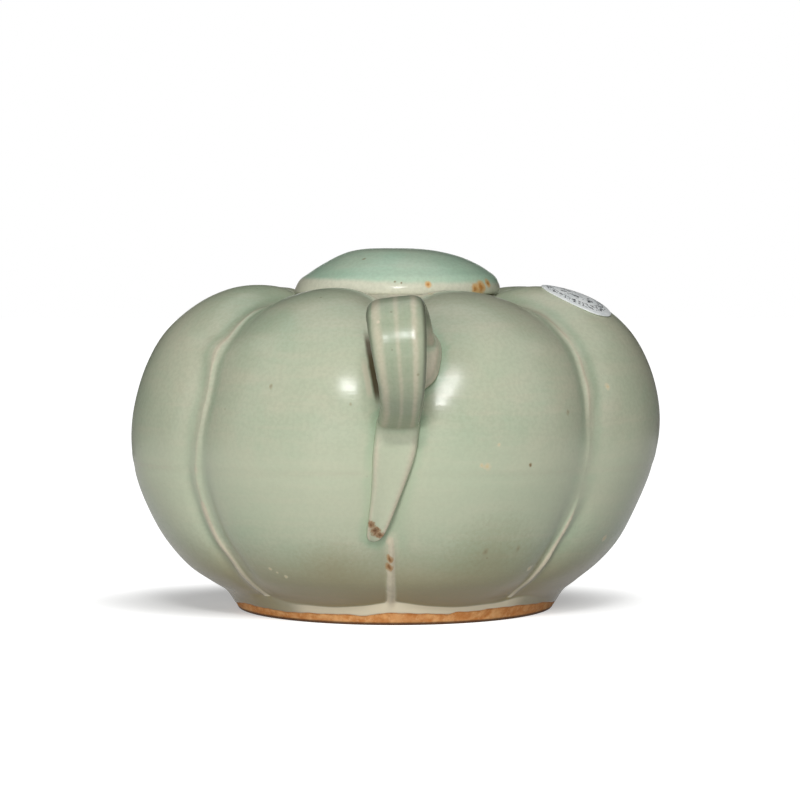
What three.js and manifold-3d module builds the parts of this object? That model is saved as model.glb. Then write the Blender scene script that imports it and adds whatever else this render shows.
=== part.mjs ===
// A melon-shaped stoneware ewer with a celadon glaze: eight swelling lobes pressed in two moulds and
// luted at the waist, a turned foot, a low mouth collar with a loose cover, a three-ribbed strap handle
// and a short curved spout. Millimetres, +Z up. The origin is the centre of the foot on the table, the
// handle is towards -Y, the spout +Y.
import * as THREE from "three";
import { mergeVertices } from "three/addons/utils/BufferGeometryUtils.js";
import Module from "manifold-3d";

const wasm = await Module();
wasm.setup();

// Clearances
const SEAT_GAP = 0.3; // between two fired pieces that are luted or that rest on each other
const OVERRUN = 5; // how far a cutting shape runs past what it cuts

// Body
const LOBES = 8;
const BODY_RADIUS = 81.2; // over the swelling of a lobe at the waist
const WAIST_HEIGHT = 54; // where the body is widest
const CROWN_HEIGHT = 97.3; // top of the lobes
const SEAM_HEIGHT = 48; // luting line between the two moulded halves
const BODY_WALL = 5;
const GROOVE_DEPTH = 5.2; // at the waist
const GROOVE_SHARPNESS = 2.6; // power of the fall from a lobe's crest to its groove, at the waist
const CROWN_SHARPNESS = 2.1; // the same over the crown, where the lobes are rounder
const INNER_GROOVE_SHARE = 0.75; // how much of the groove shows inside the wall
const BODY_WARP = 0.8; // kiln warp: the lower half to -X, the upper half to +X
const END_REACH = 105; // of the handle and of the spout, from the axis

// Foot
const FOOT_HEIGHT = 6;
const FOOT_TOP_RADIUS = 51.2;
const FOOT_BASE_RADIUS = 48;
const FOOT_WALL = 8;
const FOOT_BEVEL = 0.8;
const SKIRT_OVERHANG = 0.3; // of the lobes' lower ends over the foot

// Cover
const COVER_RADIUS = 31.1;
const COVER_HEIGHT = 13.9; // from its seat to its top
const COVER_GAP = 0.8; // from its edge to the lobes around it
const COVER_THICKNESS = 5.5;
const FLANGE_WALL = 3.5;
const FLANGE_DEPTH = 6.7; // how far the locating flange hangs into the mouth
const FLANGE_CLEARANCE = 2; // round the flange, in the mouth

// Mouth
const MOUTH_RADIUS = 24;
const COLLAR_OVERHANG = 0.8; // of the cover's edge over the collar
const COLLAR_RISE = 3.6; // of the collar above the ledge round it
const NECK_FLOOR = 91; // height of that ledge, which the grooves run into
const COLLAR_BEVEL = 0.6;

// Ribs of clay laid in the grooves
const RIB_RADIUS = 1.6;
const RIB_PROUD = 0.5; // of the rib's middle line over the bottom of its groove
const RIB_END_SHARE = 0.45; // of its radius, where it dies out
const RIB_TOP_RADIUS = 39; // from the axis, where it dies out below the neck
const RIB_FOOT_MARGIN = 1.6; // above the foot

// Handle
const HANDLE_AZIMUTH = -Math.PI / 2;
const HANDLE_ROOT_HEIGHT = 60; // of the strap's middle line at its lower root
const HANDLE_SPAN = 33.3; // from there to the top of the middle line
const STRAP_WIDTH = 16.4;
const STRAP_THICKNESS = 4.4;
const STRAP_SIDESTEP = 2; // sideways bow of the hand-set strap
const PAD_WIDTH = 21.4;
const PAD_HEIGHT = 18;
const PAD_THICKNESS = 2.6; // over the lobes beside it
const PAD_CENTRE_HEIGHT = 79;
const PAD_SIDESTEP = 2.2;
const PAD_GROOVE_SHARE = 0.4; // how much of the groove shows in it
const TAIL_WIDTH = 12.2;
const TAIL_LENGTH = 35.2; // measured upright
const TAIL_THICKNESS = 2.2; // over the lobes beside it
const TAIL_LEAN = 4.2; // sideways at the tip
const TAIL_LEAN_POWER = 1.5; // how late down the tail it leans
const TAIL_TOP_HEIGHT = 61.5;

// Spout
const SPOUT_AZIMUTH = Math.PI / 2;
const SPOUT_RISE = 38; // from its root to its lip
const SPOUT_ROOT_HEIGHT = 61;
const SPOUT_ROOT_RADIUS = 14;
const SPOUT_LIP_RADIUS = 6.4;
const SPOUT_ROOT_BORE = 8.2;
const SPOUT_LIP_BORE = 4.2;

// Paper label on a shoulder
const LABEL_LENGTH = 20.5; // outwards down the lobe, seen from above
const LABEL_WIDTH = 17; // across it
const LABEL_THICKNESS = 0.4;
const LABEL_AZIMUTH = THREE.MathUtils.degToRad(-23);
const LABEL_OFFSET = 1.95; // of its middle, out from midway between the neck and the widest line

// Fineness of the faceted solids
const LOBE_STEPS = 8;
const INNER_LOBE_STEPS = 4;
const BODY_ROWS = 22;
const INNER_ROWS = 13;
const ROUND_STEPS = 48;
const RIB_SIDES = 6;
const STRAP_ROWS = 22;
const TAIL_ROWS = 9;
const PAD_SIDES = 16;
const SPOUT_SIDES = 20;
const SPOUT_ROWS = 12;
const LABEL_SIDES = 20;
const LABEL_RINGS = 2;
const HALVINGS = 40; // of the span in which a place on the outline is looked for

const grooveRadius = BODY_RADIUS - GROOVE_DEPTH;
const neckRadius = COVER_RADIUS + COVER_GAP;
const collarRadius = COVER_RADIUS - COLLAR_OVERHANG;
const collarTop = NECK_FLOOR + COLLAR_RISE;
const coverSeat = collarTop + SEAT_GAP;
const skirtRadius = FOOT_TOP_RADIUS + SKIRT_OVERHANG;
const shoulderRadius = neckRadius + (BODY_RADIUS - neckRadius) / 2;
const labelRadius = shoulderRadius + LABEL_OFFSET;
const handleReach = END_REACH - STRAP_THICKNESS / 2 - grooveRadius;
const spoutReach = END_REACH - SPOUT_LIP_RADIUS - grooveRadius;
const lobeAngle = (2 * Math.PI) / LOBES;

// Materials
const glaze = new THREE.MeshStandardMaterial({ color: 0xaebba0, roughness: 0.2, metalness: 0 });
const thinGlaze = new THREE.MeshStandardMaterial({ color: 0xc3baa1, roughness: 0.25, metalness: 0 });
const bareClay = new THREE.MeshStandardMaterial({ color: 0xb5713a, roughness: 0.8, metalness: 0 });
const paper = new THREE.MeshStandardMaterial({ color: 0xe4e6e4, roughness: 0.9, metalness: 0 });

// Evenly spaced shares from 0 to a last one.
const rows = (count, last = 1) => Array.from({ length: count + 1 }, (_, i) => (last * i) / count);

// Reads a table of values at evenly spaced places, with a straight line between neighbours.
function along(table, place) {
  const at = place * (table.length - 1);
  const below = Math.min(Math.floor(at), table.length - 2);
  return THREE.MathUtils.lerp(table[below], table[below + 1], at - below);
}

// Joins rings of points, each running anticlockwise about the way the rings follow, into one closed solid.
function loft(rings) {
  const sides = rings[0].length;
  const points = rings.flat();
  const faces = [];
  for (let row = 0; row < rings.length - 1; row++) {
    for (let side = 0; side < sides; side++) {
      const next = (side + 1) % sides;
      const [a, b] = [row * sides + side, row * sides + next];
      faces.push(a, b, b + sides, a, b + sides, a + sides);
    }
  }
  const ends = [rings[0], rings[rings.length - 1]];
  ends.forEach((ring, end) => {
    const middle = ring.reduce((sum, p) => sum.add(p), new THREE.Vector3()).divideScalar(sides);
    const hub = points.push(middle) - 1;
    const first = end * (rings.length - 1) * sides;
    for (let side = 0; side < sides; side++) {
      const next = (side + 1) % sides;
      const [from, to] = end ? [side, next] : [next, side];
      faces.push(hub, first + from, first + to);
    }
  });
  return new THREE.BufferGeometry().setFromPoints(points).setIndex(faces);
}

// Turns a closed outline of [radius, height] pairs, anticlockwise in that plane, about the upright axis.
function turned(outline) {
  const points = outline.map(([radius, height]) => new THREE.Vector2(radius, height));
  return new THREE.LatheGeometry(points, ROUND_STEPS).rotateX(Math.PI / 2);
}

// A closed geometry as a solid that can be cut.
function solid(geometry) {
  const bare = geometry.clone();
  bare.deleteAttribute("normal");
  bare.deleteAttribute("uv");
  const merged = mergeVertices(bare);
  const vertProperties = merged.attributes.position.array;
  const triVerts = new Uint32Array(merged.index.array);
  return new wasm.Manifold(new wasm.Mesh({ numProp: 3, vertProperties, triVerts }));
}

// The biggest piece of a cut solid as a geometry, without the crumbs that a cut can leave.
function geometryOf(cut) {
  const pieces = cut.decompose().sort((a, b) => b.volume() - a.volume());
  const mesh = pieces[0].getMesh();
  const geometry = new THREE.BufferGeometry();
  geometry.setAttribute("position", new THREE.BufferAttribute(mesh.vertProperties, 3));
  return geometry.setIndex(new THREE.BufferAttribute(mesh.triVerts, 1));
}

// Outline of a lobe's crest from the foot to the neck. Each row is a share of the radius gained, a share
// of the height gained, and the share of the groove's depth that lies beside it.
const skirtShares = [
  [0, 0, 0.45],
  [0.195, 0.073, 0.6],
  [0.406, 0.167, 0.8],
  [0.627, 0.333, 0.95],
  [0.802, 0.542, 1],
  [0.938, 0.771, 1],
];
const shoulderShares = [
  [1, 0, 1],
  [0.984, 0.228, 1],
  [0.915, 0.479, 1.03],
  [0.797, 0.696, 1.09],
  [0.6, 0.879, 1.16],
  [0.404, 0.973, 1.22],
  [0.226, 1, 1.24],
  [0.077, 0.986, 1.15],
  [0.014, 0.954, 0.98],
  [0, 0.913, 0.6],
];
const crestCurve = new THREE.CatmullRomCurve3([
  ...skirtShares.map(
    ([out, up, deep]) =>
      new THREE.Vector3(
        skirtRadius + out * (BODY_RADIUS - skirtRadius),
        FOOT_HEIGHT + up * (WAIST_HEIGHT - FOOT_HEIGHT),
        deep * GROOVE_DEPTH,
      ),
  ),
  ...shoulderShares.map(
    ([out, up, deep]) =>
      new THREE.Vector3(
        neckRadius + out * (BODY_RADIUS - neckRadius),
        WAIST_HEIGHT + up * (CROWN_HEIGHT - WAIST_HEIGHT),
        deep * GROOVE_DEPTH,
      ),
  ),
  new THREE.Vector3(neckRadius - COVER_GAP, NECK_FLOOR, 0),
]);

// A point over the lobed body: azimuth about the axis, place along the crest's outline from 0 at the
// foot to 1 at the neck, distance outside the skin, and how much of the grooves it follows.
function bodyPoint(azimuth, place, outside = 0, grooveShare = 1) {
  const [radius, height, depth] = crestCurve.getPoint(place);
  const tangent = crestCurve.getTangent(place);
  const slope = Math.hypot(tangent.x, tangent.y);
  const fromCrest = Math.abs(2 * THREE.MathUtils.euclideanModulo(azimuth / lobeAngle, 1) - 1);
  const crowning = THREE.MathUtils.smoothstep(height, WAIST_HEIGHT, CROWN_HEIGHT);
  const sharpness = THREE.MathUtils.lerp(GROOVE_SHARPNESS, CROWN_SHARPNESS, crowning);
  const dip = depth * grooveShare * fromCrest ** sharpness;
  const lean = (crowning * Math.PI) / 2;
  const out = radius + (outside * tangent.y) / slope - dip * Math.cos(lean);
  const up = height - (outside * tangent.x) / slope - dip * Math.sin(lean);
  const rise = (height - FOOT_HEIGHT) / (CROWN_HEIGHT - FOOT_HEIGHT);
  const warp = BODY_WARP * Math.sin(2 * Math.PI * rise);
  return new THREE.Vector3(out * Math.cos(azimuth) - warp, out * Math.sin(azimuth), up);
}

// One ring of the body's grid at a place along the outline.
function bodyRing(place, outside = 0, grooveShare = 1, lobeSteps = LOBE_STEPS) {
  const count = LOBES * lobeSteps;
  const azimuths = Array.from({ length: count }, (_, i) => (2 * Math.PI * i) / count);
  return azimuths.map((azimuth) => bodyPoint(azimuth, place, outside, grooveShare));
}

// The place along the outline where the crest passes a height, below the crown, or a radius, above the
// waist.
function placeWhere(isPast) {
  let [before, after] = [0, 1];
  for (let i = 0; i < HALVINGS; i++) {
    const middle = (before + after) / 2;
    if (isPast(crestCurve.getPoint(middle), middle)) after = middle;
    else before = middle;
  }
  return before;
}
const waistPlace = skirtShares.length / (skirtShares.length + shoulderShares.length);
const placeAtHeight = (height) => placeWhere((p, place) => place > waistPlace * 2 || p.y > height);
const placeAtRadius = (radius) => placeWhere((p, place) => place > waistPlace && p.x < radius);

// Body skin and hollow as closed solids
const bodyPlaces = rows(BODY_ROWS);
const skin = (outside) => solid(loft(bodyPlaces.map((place) => bodyRing(place, outside))));
const bodySkin = skin(0);
const clearOfBody = skin(SEAT_GAP);
const shoulderPlace = placeAtRadius(shoulderRadius);
const ceiling = NECK_FLOOR - BODY_WALL;
const hollowRings = rows(INNER_ROWS, shoulderPlace).map((place) =>
  bodyRing(place, -BODY_WALL, INNER_GROOVE_SHARE, INNER_LOBE_STEPS),
);
hollowRings.push(
  hollowRings[0].map((p) => {
    const azimuth = Math.atan2(p.y, p.x);
    const radius = neckRadius + BODY_WALL / 2;
    return new THREE.Vector3(radius * Math.cos(azimuth), radius * Math.sin(azimuth), ceiling);
  }),
);
const hollow = solid(loft(hollowRings));

// A slab that covers everything from one height to another.
function slab(from, to) {
  const side = 2 * (BODY_RADIUS + OVERRUN);
  return solid(new THREE.BoxGeometry(side, side, to - from).translate(0, 0, (from + to) / 2));
}

// A path of points in a plane through the axis: shares of a reach out from the grooves and of a rise
// over a root.
function pathOf(shares, azimuth, reach, root, rise) {
  return new THREE.CatmullRomCurve3(
    shares.map(([out, up]) => {
      const radius = grooveRadius + out * reach;
      return new THREE.Vector3(radius * Math.cos(azimuth), radius * Math.sin(azimuth), root + up * rise);
    }),
  );
}

// Spout: one curved tube, widest where it is luted over the hole in the shoulder
const spoutPathShares = [
  [-0.6, -0.1],
  [-0.1, 0.02],
  [0.36, 0.16],
  [0.69, 0.38],
  [0.86, 0.64],
  [0.96, 0.86],
  [1, 1],
];
const spoutPath = pathOf(spoutPathShares, SPOUT_AZIMUTH, spoutReach, SPOUT_ROOT_HEIGHT, SPOUT_RISE);
const spoutTaperShares = [1, 0.96, 0.72, 0.42, 0.22, 0.1, 0.02, 0]; // of the root's size over the lip's

function spoutTube(rootRadius, lipRadius, overrun) {
  const across = new THREE.Vector3(1, 0, 0);
  const rings = rows(SPOUT_ROWS).map((place) => {
    const radius = lipRadius + along(spoutTaperShares, place) * (rootRadius - lipRadius);
    const middle = spoutPath.getPoint(place);
    const up = spoutPath.getTangent(place).cross(across).normalize();
    return Array.from({ length: SPOUT_SIDES }, (_, i) => {
      const turn = (2 * Math.PI * i) / SPOUT_SIDES;
      const ray = across.clone().multiplyScalar(Math.cos(turn)).addScaledVector(up, Math.sin(turn));
      return middle.clone().addScaledVector(ray, radius);
    });
  });
  if (overrun) {
    const ahead = spoutPath.getTangent(1).multiplyScalar(overrun);
    rings.push(rings[rings.length - 1].map((p) => p.clone().add(ahead)));
  }
  return solid(loft(rings));
}
const spoutBore = spoutTube(SPOUT_ROOT_BORE, SPOUT_LIP_BORE, OVERRUN);
const spoutOutside = spoutTube(SPOUT_ROOT_RADIUS, SPOUT_LIP_RADIUS, 0);
const spoutSolid = spoutOutside.subtract(spoutBore).subtract(clearOfBody);

// Body halves: the lower is a lobed bowl with a flat floor, the upper closes in to the mouth
const neckHole = solid(
  new THREE.CylinderGeometry(
    collarRadius + SEAT_GAP,
    collarRadius + SEAT_GAP,
    CROWN_HEIGHT - WAIST_HEIGHT,
    ROUND_STEPS,
  )
    .rotateX(Math.PI / 2)
    .translate(0, 0, CROWN_HEIGHT),
);
const wall = bodySkin.subtract(hollow);
const lowerShell = wall.intersect(slab(-OVERRUN, SEAM_HEIGHT));
const upperShell = wall
  .intersect(slab(SEAM_HEIGHT + SEAT_GAP, CROWN_HEIGHT + OVERRUN))
  .subtract(neckHole)
  .subtract(spoutBore);

const footRing = turned([
  [FOOT_BASE_RADIUS - FOOT_WALL + FOOT_BEVEL, 0],
  [FOOT_BASE_RADIUS - FOOT_BEVEL, 0],
  [FOOT_BASE_RADIUS, FOOT_BEVEL],
  [FOOT_TOP_RADIUS, FOOT_HEIGHT - SEAT_GAP],
  [FOOT_BASE_RADIUS - FOOT_WALL - FOOT_BEVEL, FOOT_HEIGHT - SEAT_GAP],
  [FOOT_BASE_RADIUS - FOOT_WALL, FOOT_BEVEL],
  [FOOT_BASE_RADIUS - FOOT_WALL + FOOT_BEVEL, 0],
]);

const mouthCollar = turned([
  [MOUTH_RADIUS + COLLAR_BEVEL, ceiling],
  [collarRadius, ceiling],
  [collarRadius, collarTop - COLLAR_BEVEL],
  [collarRadius - COLLAR_BEVEL, collarTop],
  [MOUTH_RADIUS + COLLAR_BEVEL, collarTop],
  [MOUTH_RADIUS, collarTop - COLLAR_BEVEL],
  [MOUTH_RADIUS, ceiling + COLLAR_BEVEL],
  [MOUTH_RADIUS + COLLAR_BEVEL, ceiling],
]);

// Cover: a low dome with a thick rounded edge, hollowed underneath, and the flange that locates it
const coverShares = [
  [0.948, 0],
  [0.98, 0.03],
  [0.997, 0.08],
  [1, 0.165],
  [0.994, 0.245],
  [0.958, 0.338],
  [0.897, 0.44],
  [0.772, 0.583],
  [0.6, 0.77],
  [0.442, 0.906],
  [0.367, 0.952],
  [0.277, 0.98],
  [0.13, 0.997],
  [0, 1],
];
const flangeRadius = MOUTH_RADIUS - FLANGE_CLEARANCE;
const flangeBore = flangeRadius - FLANGE_WALL;
const coverHollow = coverSeat + COVER_HEIGHT - COVER_THICKNESS;
const hollowShoulder = Math.min(COVER_THICKNESS, flangeBore / 2);
const coverDome = turned([
  [0, coverHollow],
  [flangeBore - hollowShoulder, coverHollow],
  [flangeBore, (coverHollow + coverSeat) / 2],
  [flangeBore, coverSeat],
  ...coverShares.map(([out, up]) => [out * COVER_RADIUS, coverSeat + up * COVER_HEIGHT]),
]);
const coverFlange = turned([
  [flangeBore, collarTop - FLANGE_DEPTH],
  [flangeRadius - FLANGE_CLEARANCE / 2, collarTop - FLANGE_DEPTH],
  [flangeRadius, collarTop],
  [flangeBore, collarTop],
  [flangeBore, collarTop - FLANGE_DEPTH],
]);

// The way out of the body's skin in the groove at a place, leaving the groove itself out of account.
function outward(azimuth, place) {
  return bodyPoint(azimuth, place, BODY_WALL).sub(bodyPoint(azimuth, place)).normalize();
}

// Ribs: a thin roll of clay in each groove, dying out at both ends. Its rings keep to the rows of the
// body's grid.
function rib(azimuth, from, to) {
  const between = bodyPlaces.filter((place) => place > from && place < to);
  const rings = [from, ...between, to].map((place) => {
    const middle = bodyPoint(azimuth, place, RIB_PROUD);
    const out = outward(azimuth, place);
    const across = new THREE.Vector3(-Math.sin(azimuth), Math.cos(azimuth), 0);
    const fromMiddle = (2 * (place - from)) / (to - from) - 1;
    const swell = (1 - fromMiddle ** 2) ** RIB_END_SHARE;
    const radius = RIB_RADIUS * (RIB_END_SHARE + (1 - RIB_END_SHARE) * swell);
    return Array.from({ length: RIB_SIDES }, (_, i) => {
      const turn = (2 * Math.PI * i) / RIB_SIDES;
      const ray = out.clone().multiplyScalar(Math.cos(turn)).addScaledVector(across, Math.sin(turn));
      return middle.clone().addScaledVector(ray, radius);
    });
  });
  return geometryOf(solid(loft(rings)).subtract(clearOfBody));
}

// Handle pad: the flattened lump under the strap's upper end. Each row is a share of its size and of its
// thickness.
const padShares = [
  [1, -1],
  [1, 0.2],
  [0.93, 0.6],
  [0.72, 0.9],
  [0.38, 1],
];
function handlePad(margin) {
  const rings = padShares.map(([size, high]) =>
    Array.from({ length: PAD_SIDES }, (_, i) => {
      const turn = (2 * Math.PI * i) / PAD_SIDES;
      const side = PAD_SIDESTEP + size * (PAD_WIDTH / 2 + margin) * Math.cos(turn);
      const up = size * (PAD_HEIGHT / 2 + margin) * Math.sin(turn);
      const azimuth = HANDLE_AZIMUTH + side / grooveRadius;
      const place = placeAtHeight(PAD_CENTRE_HEIGHT + up);
      return bodyPoint(azimuth, place, high * PAD_THICKNESS + margin, PAD_GROOVE_SHARE);
    }),
  );
  return solid(loft(rings));
}

// Handle tail: the strap's pointed end, pressed along the groove below the lower root. Its outline is in
// shares of its half width, and of its thickness over the lobes beside it or, below zero, under the
// bottom of the groove.
const tailWidthShares = [1, 1, 0.98, 0.94, 0.82, 0.68, 0.58, 0.5, 0.34, 0.12];
const tailLiftShares = [0.5, 0.9, 1, 1, 1, 1, 1.05, 1.15, 1.25, 1.1];
const tailOutlineShares = [
  [0.8, -1],
  [1, 0.5],
  [0.84, 1],
  [0.4, 0.75],
  [0, 0.68],
  [-0.4, 0.75],
  [-0.84, 1],
  [-1, 0.5],
  [-0.8, -1],
];
function handleTail(margin) {
  const across = new THREE.Vector3(1, 0, 0);
  const rings = rows(TAIL_ROWS).map((share) => {
    const place = placeAtHeight(TAIL_TOP_HEIGHT - share * (TAIL_LENGTH + margin));
    const middle = bodyPoint(HANDLE_AZIMUTH, place);
    const out = outward(HANDLE_AZIMUTH, place);
    const half = (TAIL_WIDTH / 2) * along(tailWidthShares, share) + margin;
    const halfLobe = (grooveRadius * lobeAngle) / 2;
    const fill = GROOVE_DEPTH * (1 - (1 - half / halfLobe) ** GROOVE_SHARPNESS);
    const lift = TAIL_THICKNESS * along(tailLiftShares, share) + margin;
    const side = TAIL_LEAN * share ** TAIL_LEAN_POWER;
    return tailOutlineShares.map(([wide, high]) =>
      middle
        .clone()
        .addScaledVector(across, wide * half - side)
        .addScaledVector(out, high * lift + (high > 0 ? fill : 0)),
    );
  });
  return solid(loft(rings));
}

// Handle strap: a ribbon with three ribs, out from the shoulder, over, and down to the waist
const strapPathShares = [
  [-0.46, 0.496],
  [-0.119, 0.666],
  [0.157, 0.887],
  [0.477, 1],
  [0.787, 0.935],
  [0.97, 0.765],
  [1, 0.552],
  [0.872, 0.34],
  [0.604, 0.164],
  [0.285, 0.051],
  [-0.034, -0.014],
  [-0.29, -0.042],
];
const strapWidthShares = [1.12, 1.06, 1, 1, 0.97, 0.86, 0.79, 0.73, 0.68, 0.66, 0.66, 0.66];
const strapSideShares = [1, 0.9, 0.3, 0, 0.2, 0.6, 0.75, 0.75, 0.7, 0.5, 0.4, 0.3];
const strapOutlineShares = [
  [0.86, -0.5],
  [1, -0.1],
  [0.93, 0.34],
  [0.72, 0.5],
  [0.36, 0.2],
  [0.12, 0.42],
  [-0.12, 0.42],
  [-0.36, 0.2],
  [-0.72, 0.5],
  [-0.93, 0.34],
  [-1, -0.1],
  [-0.86, -0.5],
];
const strapPath = pathOf(strapPathShares, HANDLE_AZIMUTH, handleReach, HANDLE_ROOT_HEIGHT, HANDLE_SPAN);
function handleStrap() {
  const across = new THREE.Vector3(1, 0, 0);
  const rings = rows(STRAP_ROWS).map((share) => {
    const out = strapPath.getTangent(share).cross(across).normalize();
    const middle = strapPath.getPoint(share);
    middle.x += STRAP_SIDESTEP * along(strapSideShares, share);
    const half = (STRAP_WIDTH / 2) * along(strapWidthShares, share);
    return strapOutlineShares.map(([wide, high]) =>
      middle
        .clone()
        .addScaledVector(across, wide * half)
        .addScaledVector(out, high * STRAP_THICKNESS),
    );
  });
  return solid(loft(rings));
}

// Paper label: an oval that follows the shoulder, a hair clear of the glaze
function labelPoint(down, around, outside) {
  const place = placeAtRadius(labelRadius + down);
  return bodyPoint(LABEL_AZIMUTH + around / labelRadius, place, outside);
}
function labelRing(share, outside) {
  return Array.from({ length: LABEL_SIDES }, (_, i) => {
    const turn = (2 * Math.PI * i) / LABEL_SIDES;
    const down = (LABEL_LENGTH / 2) * share * Math.cos(turn);
    return labelPoint(down, (LABEL_WIDTH / 2) * share * Math.sin(turn), outside);
  });
}
const labelShares = rows(LABEL_RINGS).slice(1);
const paperLabel = loft([
  ...labelShares.map((share) => labelRing(share, SEAT_GAP)),
  ...labelShares.toReversed().map((share) => labelRing(share, SEAT_GAP + LABEL_THICKNESS)),
]);

// The assembly
const ewer = new THREE.Group();
function add(name, geometry, material) {
  const mesh = new THREE.Mesh(geometry, material);
  mesh.name = name;
  ewer.add(mesh);
}

const clearOfTail = handleTail(SEAT_GAP);
const clearOfPad = handlePad(SEAT_GAP);
const tail = handleTail(0).subtract(clearOfBody);
const pad = handlePad(0).subtract(clearOfBody).subtract(clearOfTail);
const strap = handleStrap().subtract(clearOfBody).subtract(clearOfPad).subtract(clearOfTail);

add("lower_shell", geometryOf(lowerShell), glaze);
add("upper_shell", geometryOf(upperShell), glaze);
add("foot_ring", footRing, bareClay);
add("mouth_collar", mouthCollar, glaze);
add("spout", geometryOf(spoutSolid), glaze);
add("handle_strap", geometryOf(strap), glaze);
add("handle_root_pad", geometryOf(pad), glaze);
add("handle_tail", geometryOf(tail), glaze);
add("paper_label", paperLabel, paper);
add("cover_dome", coverDome, glaze);
add("cover_flange", coverFlange, thinGlaze);

// Ribs run nearly from the foot to the neck, but stop short under the handle's tail and under the spout.
const ribStart = placeAtHeight(FOOT_HEIGHT + RIB_FOOT_MARGIN);
const ribEnd = placeAtRadius(RIB_TOP_RADIUS);
const tailTip = placeAtHeight(TAIL_TOP_HEIGHT - TAIL_LENGTH - RIB_RADIUS);
const spoutFoot = placeAtHeight(SPOUT_ROOT_HEIGHT - SPOUT_ROOT_RADIUS - 2 * RIB_RADIUS);
for (let i = 0; i < LOBES; i++) {
  const azimuth = HANDLE_AZIMUTH + i * lobeAngle;
  const ends = { 0: tailTip, [LOBES / 2]: spoutFoot };
  add(`groove_rib_${i + 1}`, rib(azimuth, ribStart, ends[i] ?? ribEnd), thinGlaze);
}

export default ewer;
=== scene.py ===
# Looks of the melon-shaped celadon ewer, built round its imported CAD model: one glazed skin over the eight
# lobes and their clay ribs, a turned foot, a mouth collar, a loose cover on its flange, a three-ribbed strap
# handle with its pad and pointed tail, a curved spout and a paper label. Shapes are given in millimetres, and
# patterns, stage and camera in metres.
import math

import bpy
import numpy as np
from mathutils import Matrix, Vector
from mathutils.bvhtree import BVHTree


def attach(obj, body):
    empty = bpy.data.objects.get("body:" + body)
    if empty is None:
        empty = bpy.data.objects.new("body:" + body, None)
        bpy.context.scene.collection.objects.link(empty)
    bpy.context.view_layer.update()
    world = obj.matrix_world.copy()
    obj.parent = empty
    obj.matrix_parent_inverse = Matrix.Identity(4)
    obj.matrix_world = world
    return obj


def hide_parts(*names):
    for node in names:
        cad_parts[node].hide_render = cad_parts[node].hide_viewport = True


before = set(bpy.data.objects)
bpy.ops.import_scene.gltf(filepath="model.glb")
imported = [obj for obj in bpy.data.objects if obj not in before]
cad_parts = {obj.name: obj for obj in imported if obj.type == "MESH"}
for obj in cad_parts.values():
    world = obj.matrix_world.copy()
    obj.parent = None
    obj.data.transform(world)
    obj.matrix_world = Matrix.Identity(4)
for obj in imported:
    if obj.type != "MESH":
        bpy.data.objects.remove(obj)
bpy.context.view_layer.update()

MM = 0.001

# Body
LOBES = 8
LOBE_ANGLE = 2 * math.pi / LOBES
BODY_RADIUS = 81.2
WAIST_HEIGHT = 54
CROWN_HEIGHT = 97.3
SEAM_HEIGHT = 48
BODY_WALL = 5
GROOVE_DEPTH = 5.2
GROOVE_SHARPNESS = 2.6
CROWN_SHARPNESS = 2.1
INNER_GROOVE_SHARE = 0.75
BODY_WARP = 0.8
GROOVE_RADIUS = BODY_RADIUS - GROOVE_DEPTH
FOOT_HEIGHT = 6
FOOT_TOP_RADIUS = 51.2
SKIRT_RADIUS = FOOT_TOP_RADIUS + 0.3
COVER_RADIUS = 31.1
COVER_SEAT = 94.9
COVER_HEIGHT = 13.9
NECK_RADIUS = COVER_RADIUS + 0.8
NECK_FLOOR = 91
NECK_CEILING = 86
HANDLE_AZIMUTH = -math.pi / 2
SPOUT_AZIMUTH = math.pi / 2
END_REACH = 105

# Outline of a lobe's crest: shares of the radius gained, of the height gained and of the groove's depth
SKIRT = [(0, 0, .45), (.195, .073, .6), (.406, .167, .8), (.627, .333, .95), (.802, .542, 1), (.938, .771, 1)]
SHOULDER = [
    (1, 0, 1), (.984, .228, 1), (.915, .479, 1.03), (.797, .696, 1.09), (.6, .879, 1.16),
    (.404, .973, 1.22), (.226, 1, 1.24), (.077, .986, 1.15), (.014, .954, .98), (0, .913, .6),
]
CREST = [
    (SKIRT_RADIUS + out * (BODY_RADIUS - SKIRT_RADIUS), FOOT_HEIGHT + up * (WAIST_HEIGHT - FOOT_HEIGHT),
     deep * GROOVE_DEPTH) for out, up, deep in SKIRT
] + [
    (NECK_RADIUS + out * (BODY_RADIUS - NECK_RADIUS), WAIST_HEIGHT + up * (CROWN_HEIGHT - WAIST_HEIGHT),
     deep * GROOVE_DEPTH) for out, up, deep in SHOULDER
] + [(COVER_RADIUS, NECK_FLOOR, 0)]


# Shapes as tables of points

def curve(points, places):
    """Points of a smooth curve through the given ones, at places from 0 at the first to 1 at the last."""
    points = np.asarray(points, float)
    last = len(points) - 1
    at = np.clip(np.asarray(places, float), 0, 1) * last
    i = np.minimum(at.astype(int), last - 1)
    w = (at - i)[:, None]
    padded = np.vstack([2 * points[0] - points[1], points, 2 * points[-1] - points[-2]])
    p0, p1, p2, p3 = (padded[i + k] for k in range(4))
    spans = [np.sqrt(np.linalg.norm(b - a, axis=1))[:, None] for a, b in ((p0, p1), (p1, p2), (p2, p3))]
    s0, s1, s2 = spans
    t1 = ((p1 - p0) / s0 - (p2 - p0) / (s0 + s1) + (p2 - p1) / s1) * s1
    t2 = ((p2 - p1) / s1 - (p3 - p1) / (s1 + s2) + (p3 - p2) / s2) * s1
    return p1 + t1 * w + (3 * (p2 - p1) - 2 * t1 - t2) * w ** 2 + (2 * (p1 - p2) + t1 + t2) * w ** 3


def smoothstep(value, low, high):
    share = np.clip((value - low) / (high - low), 0, 1)
    return share * share * (3 - 2 * share)


def bump(distance, width, power=2):
    return np.exp(-np.abs(distance / width) ** power)


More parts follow.
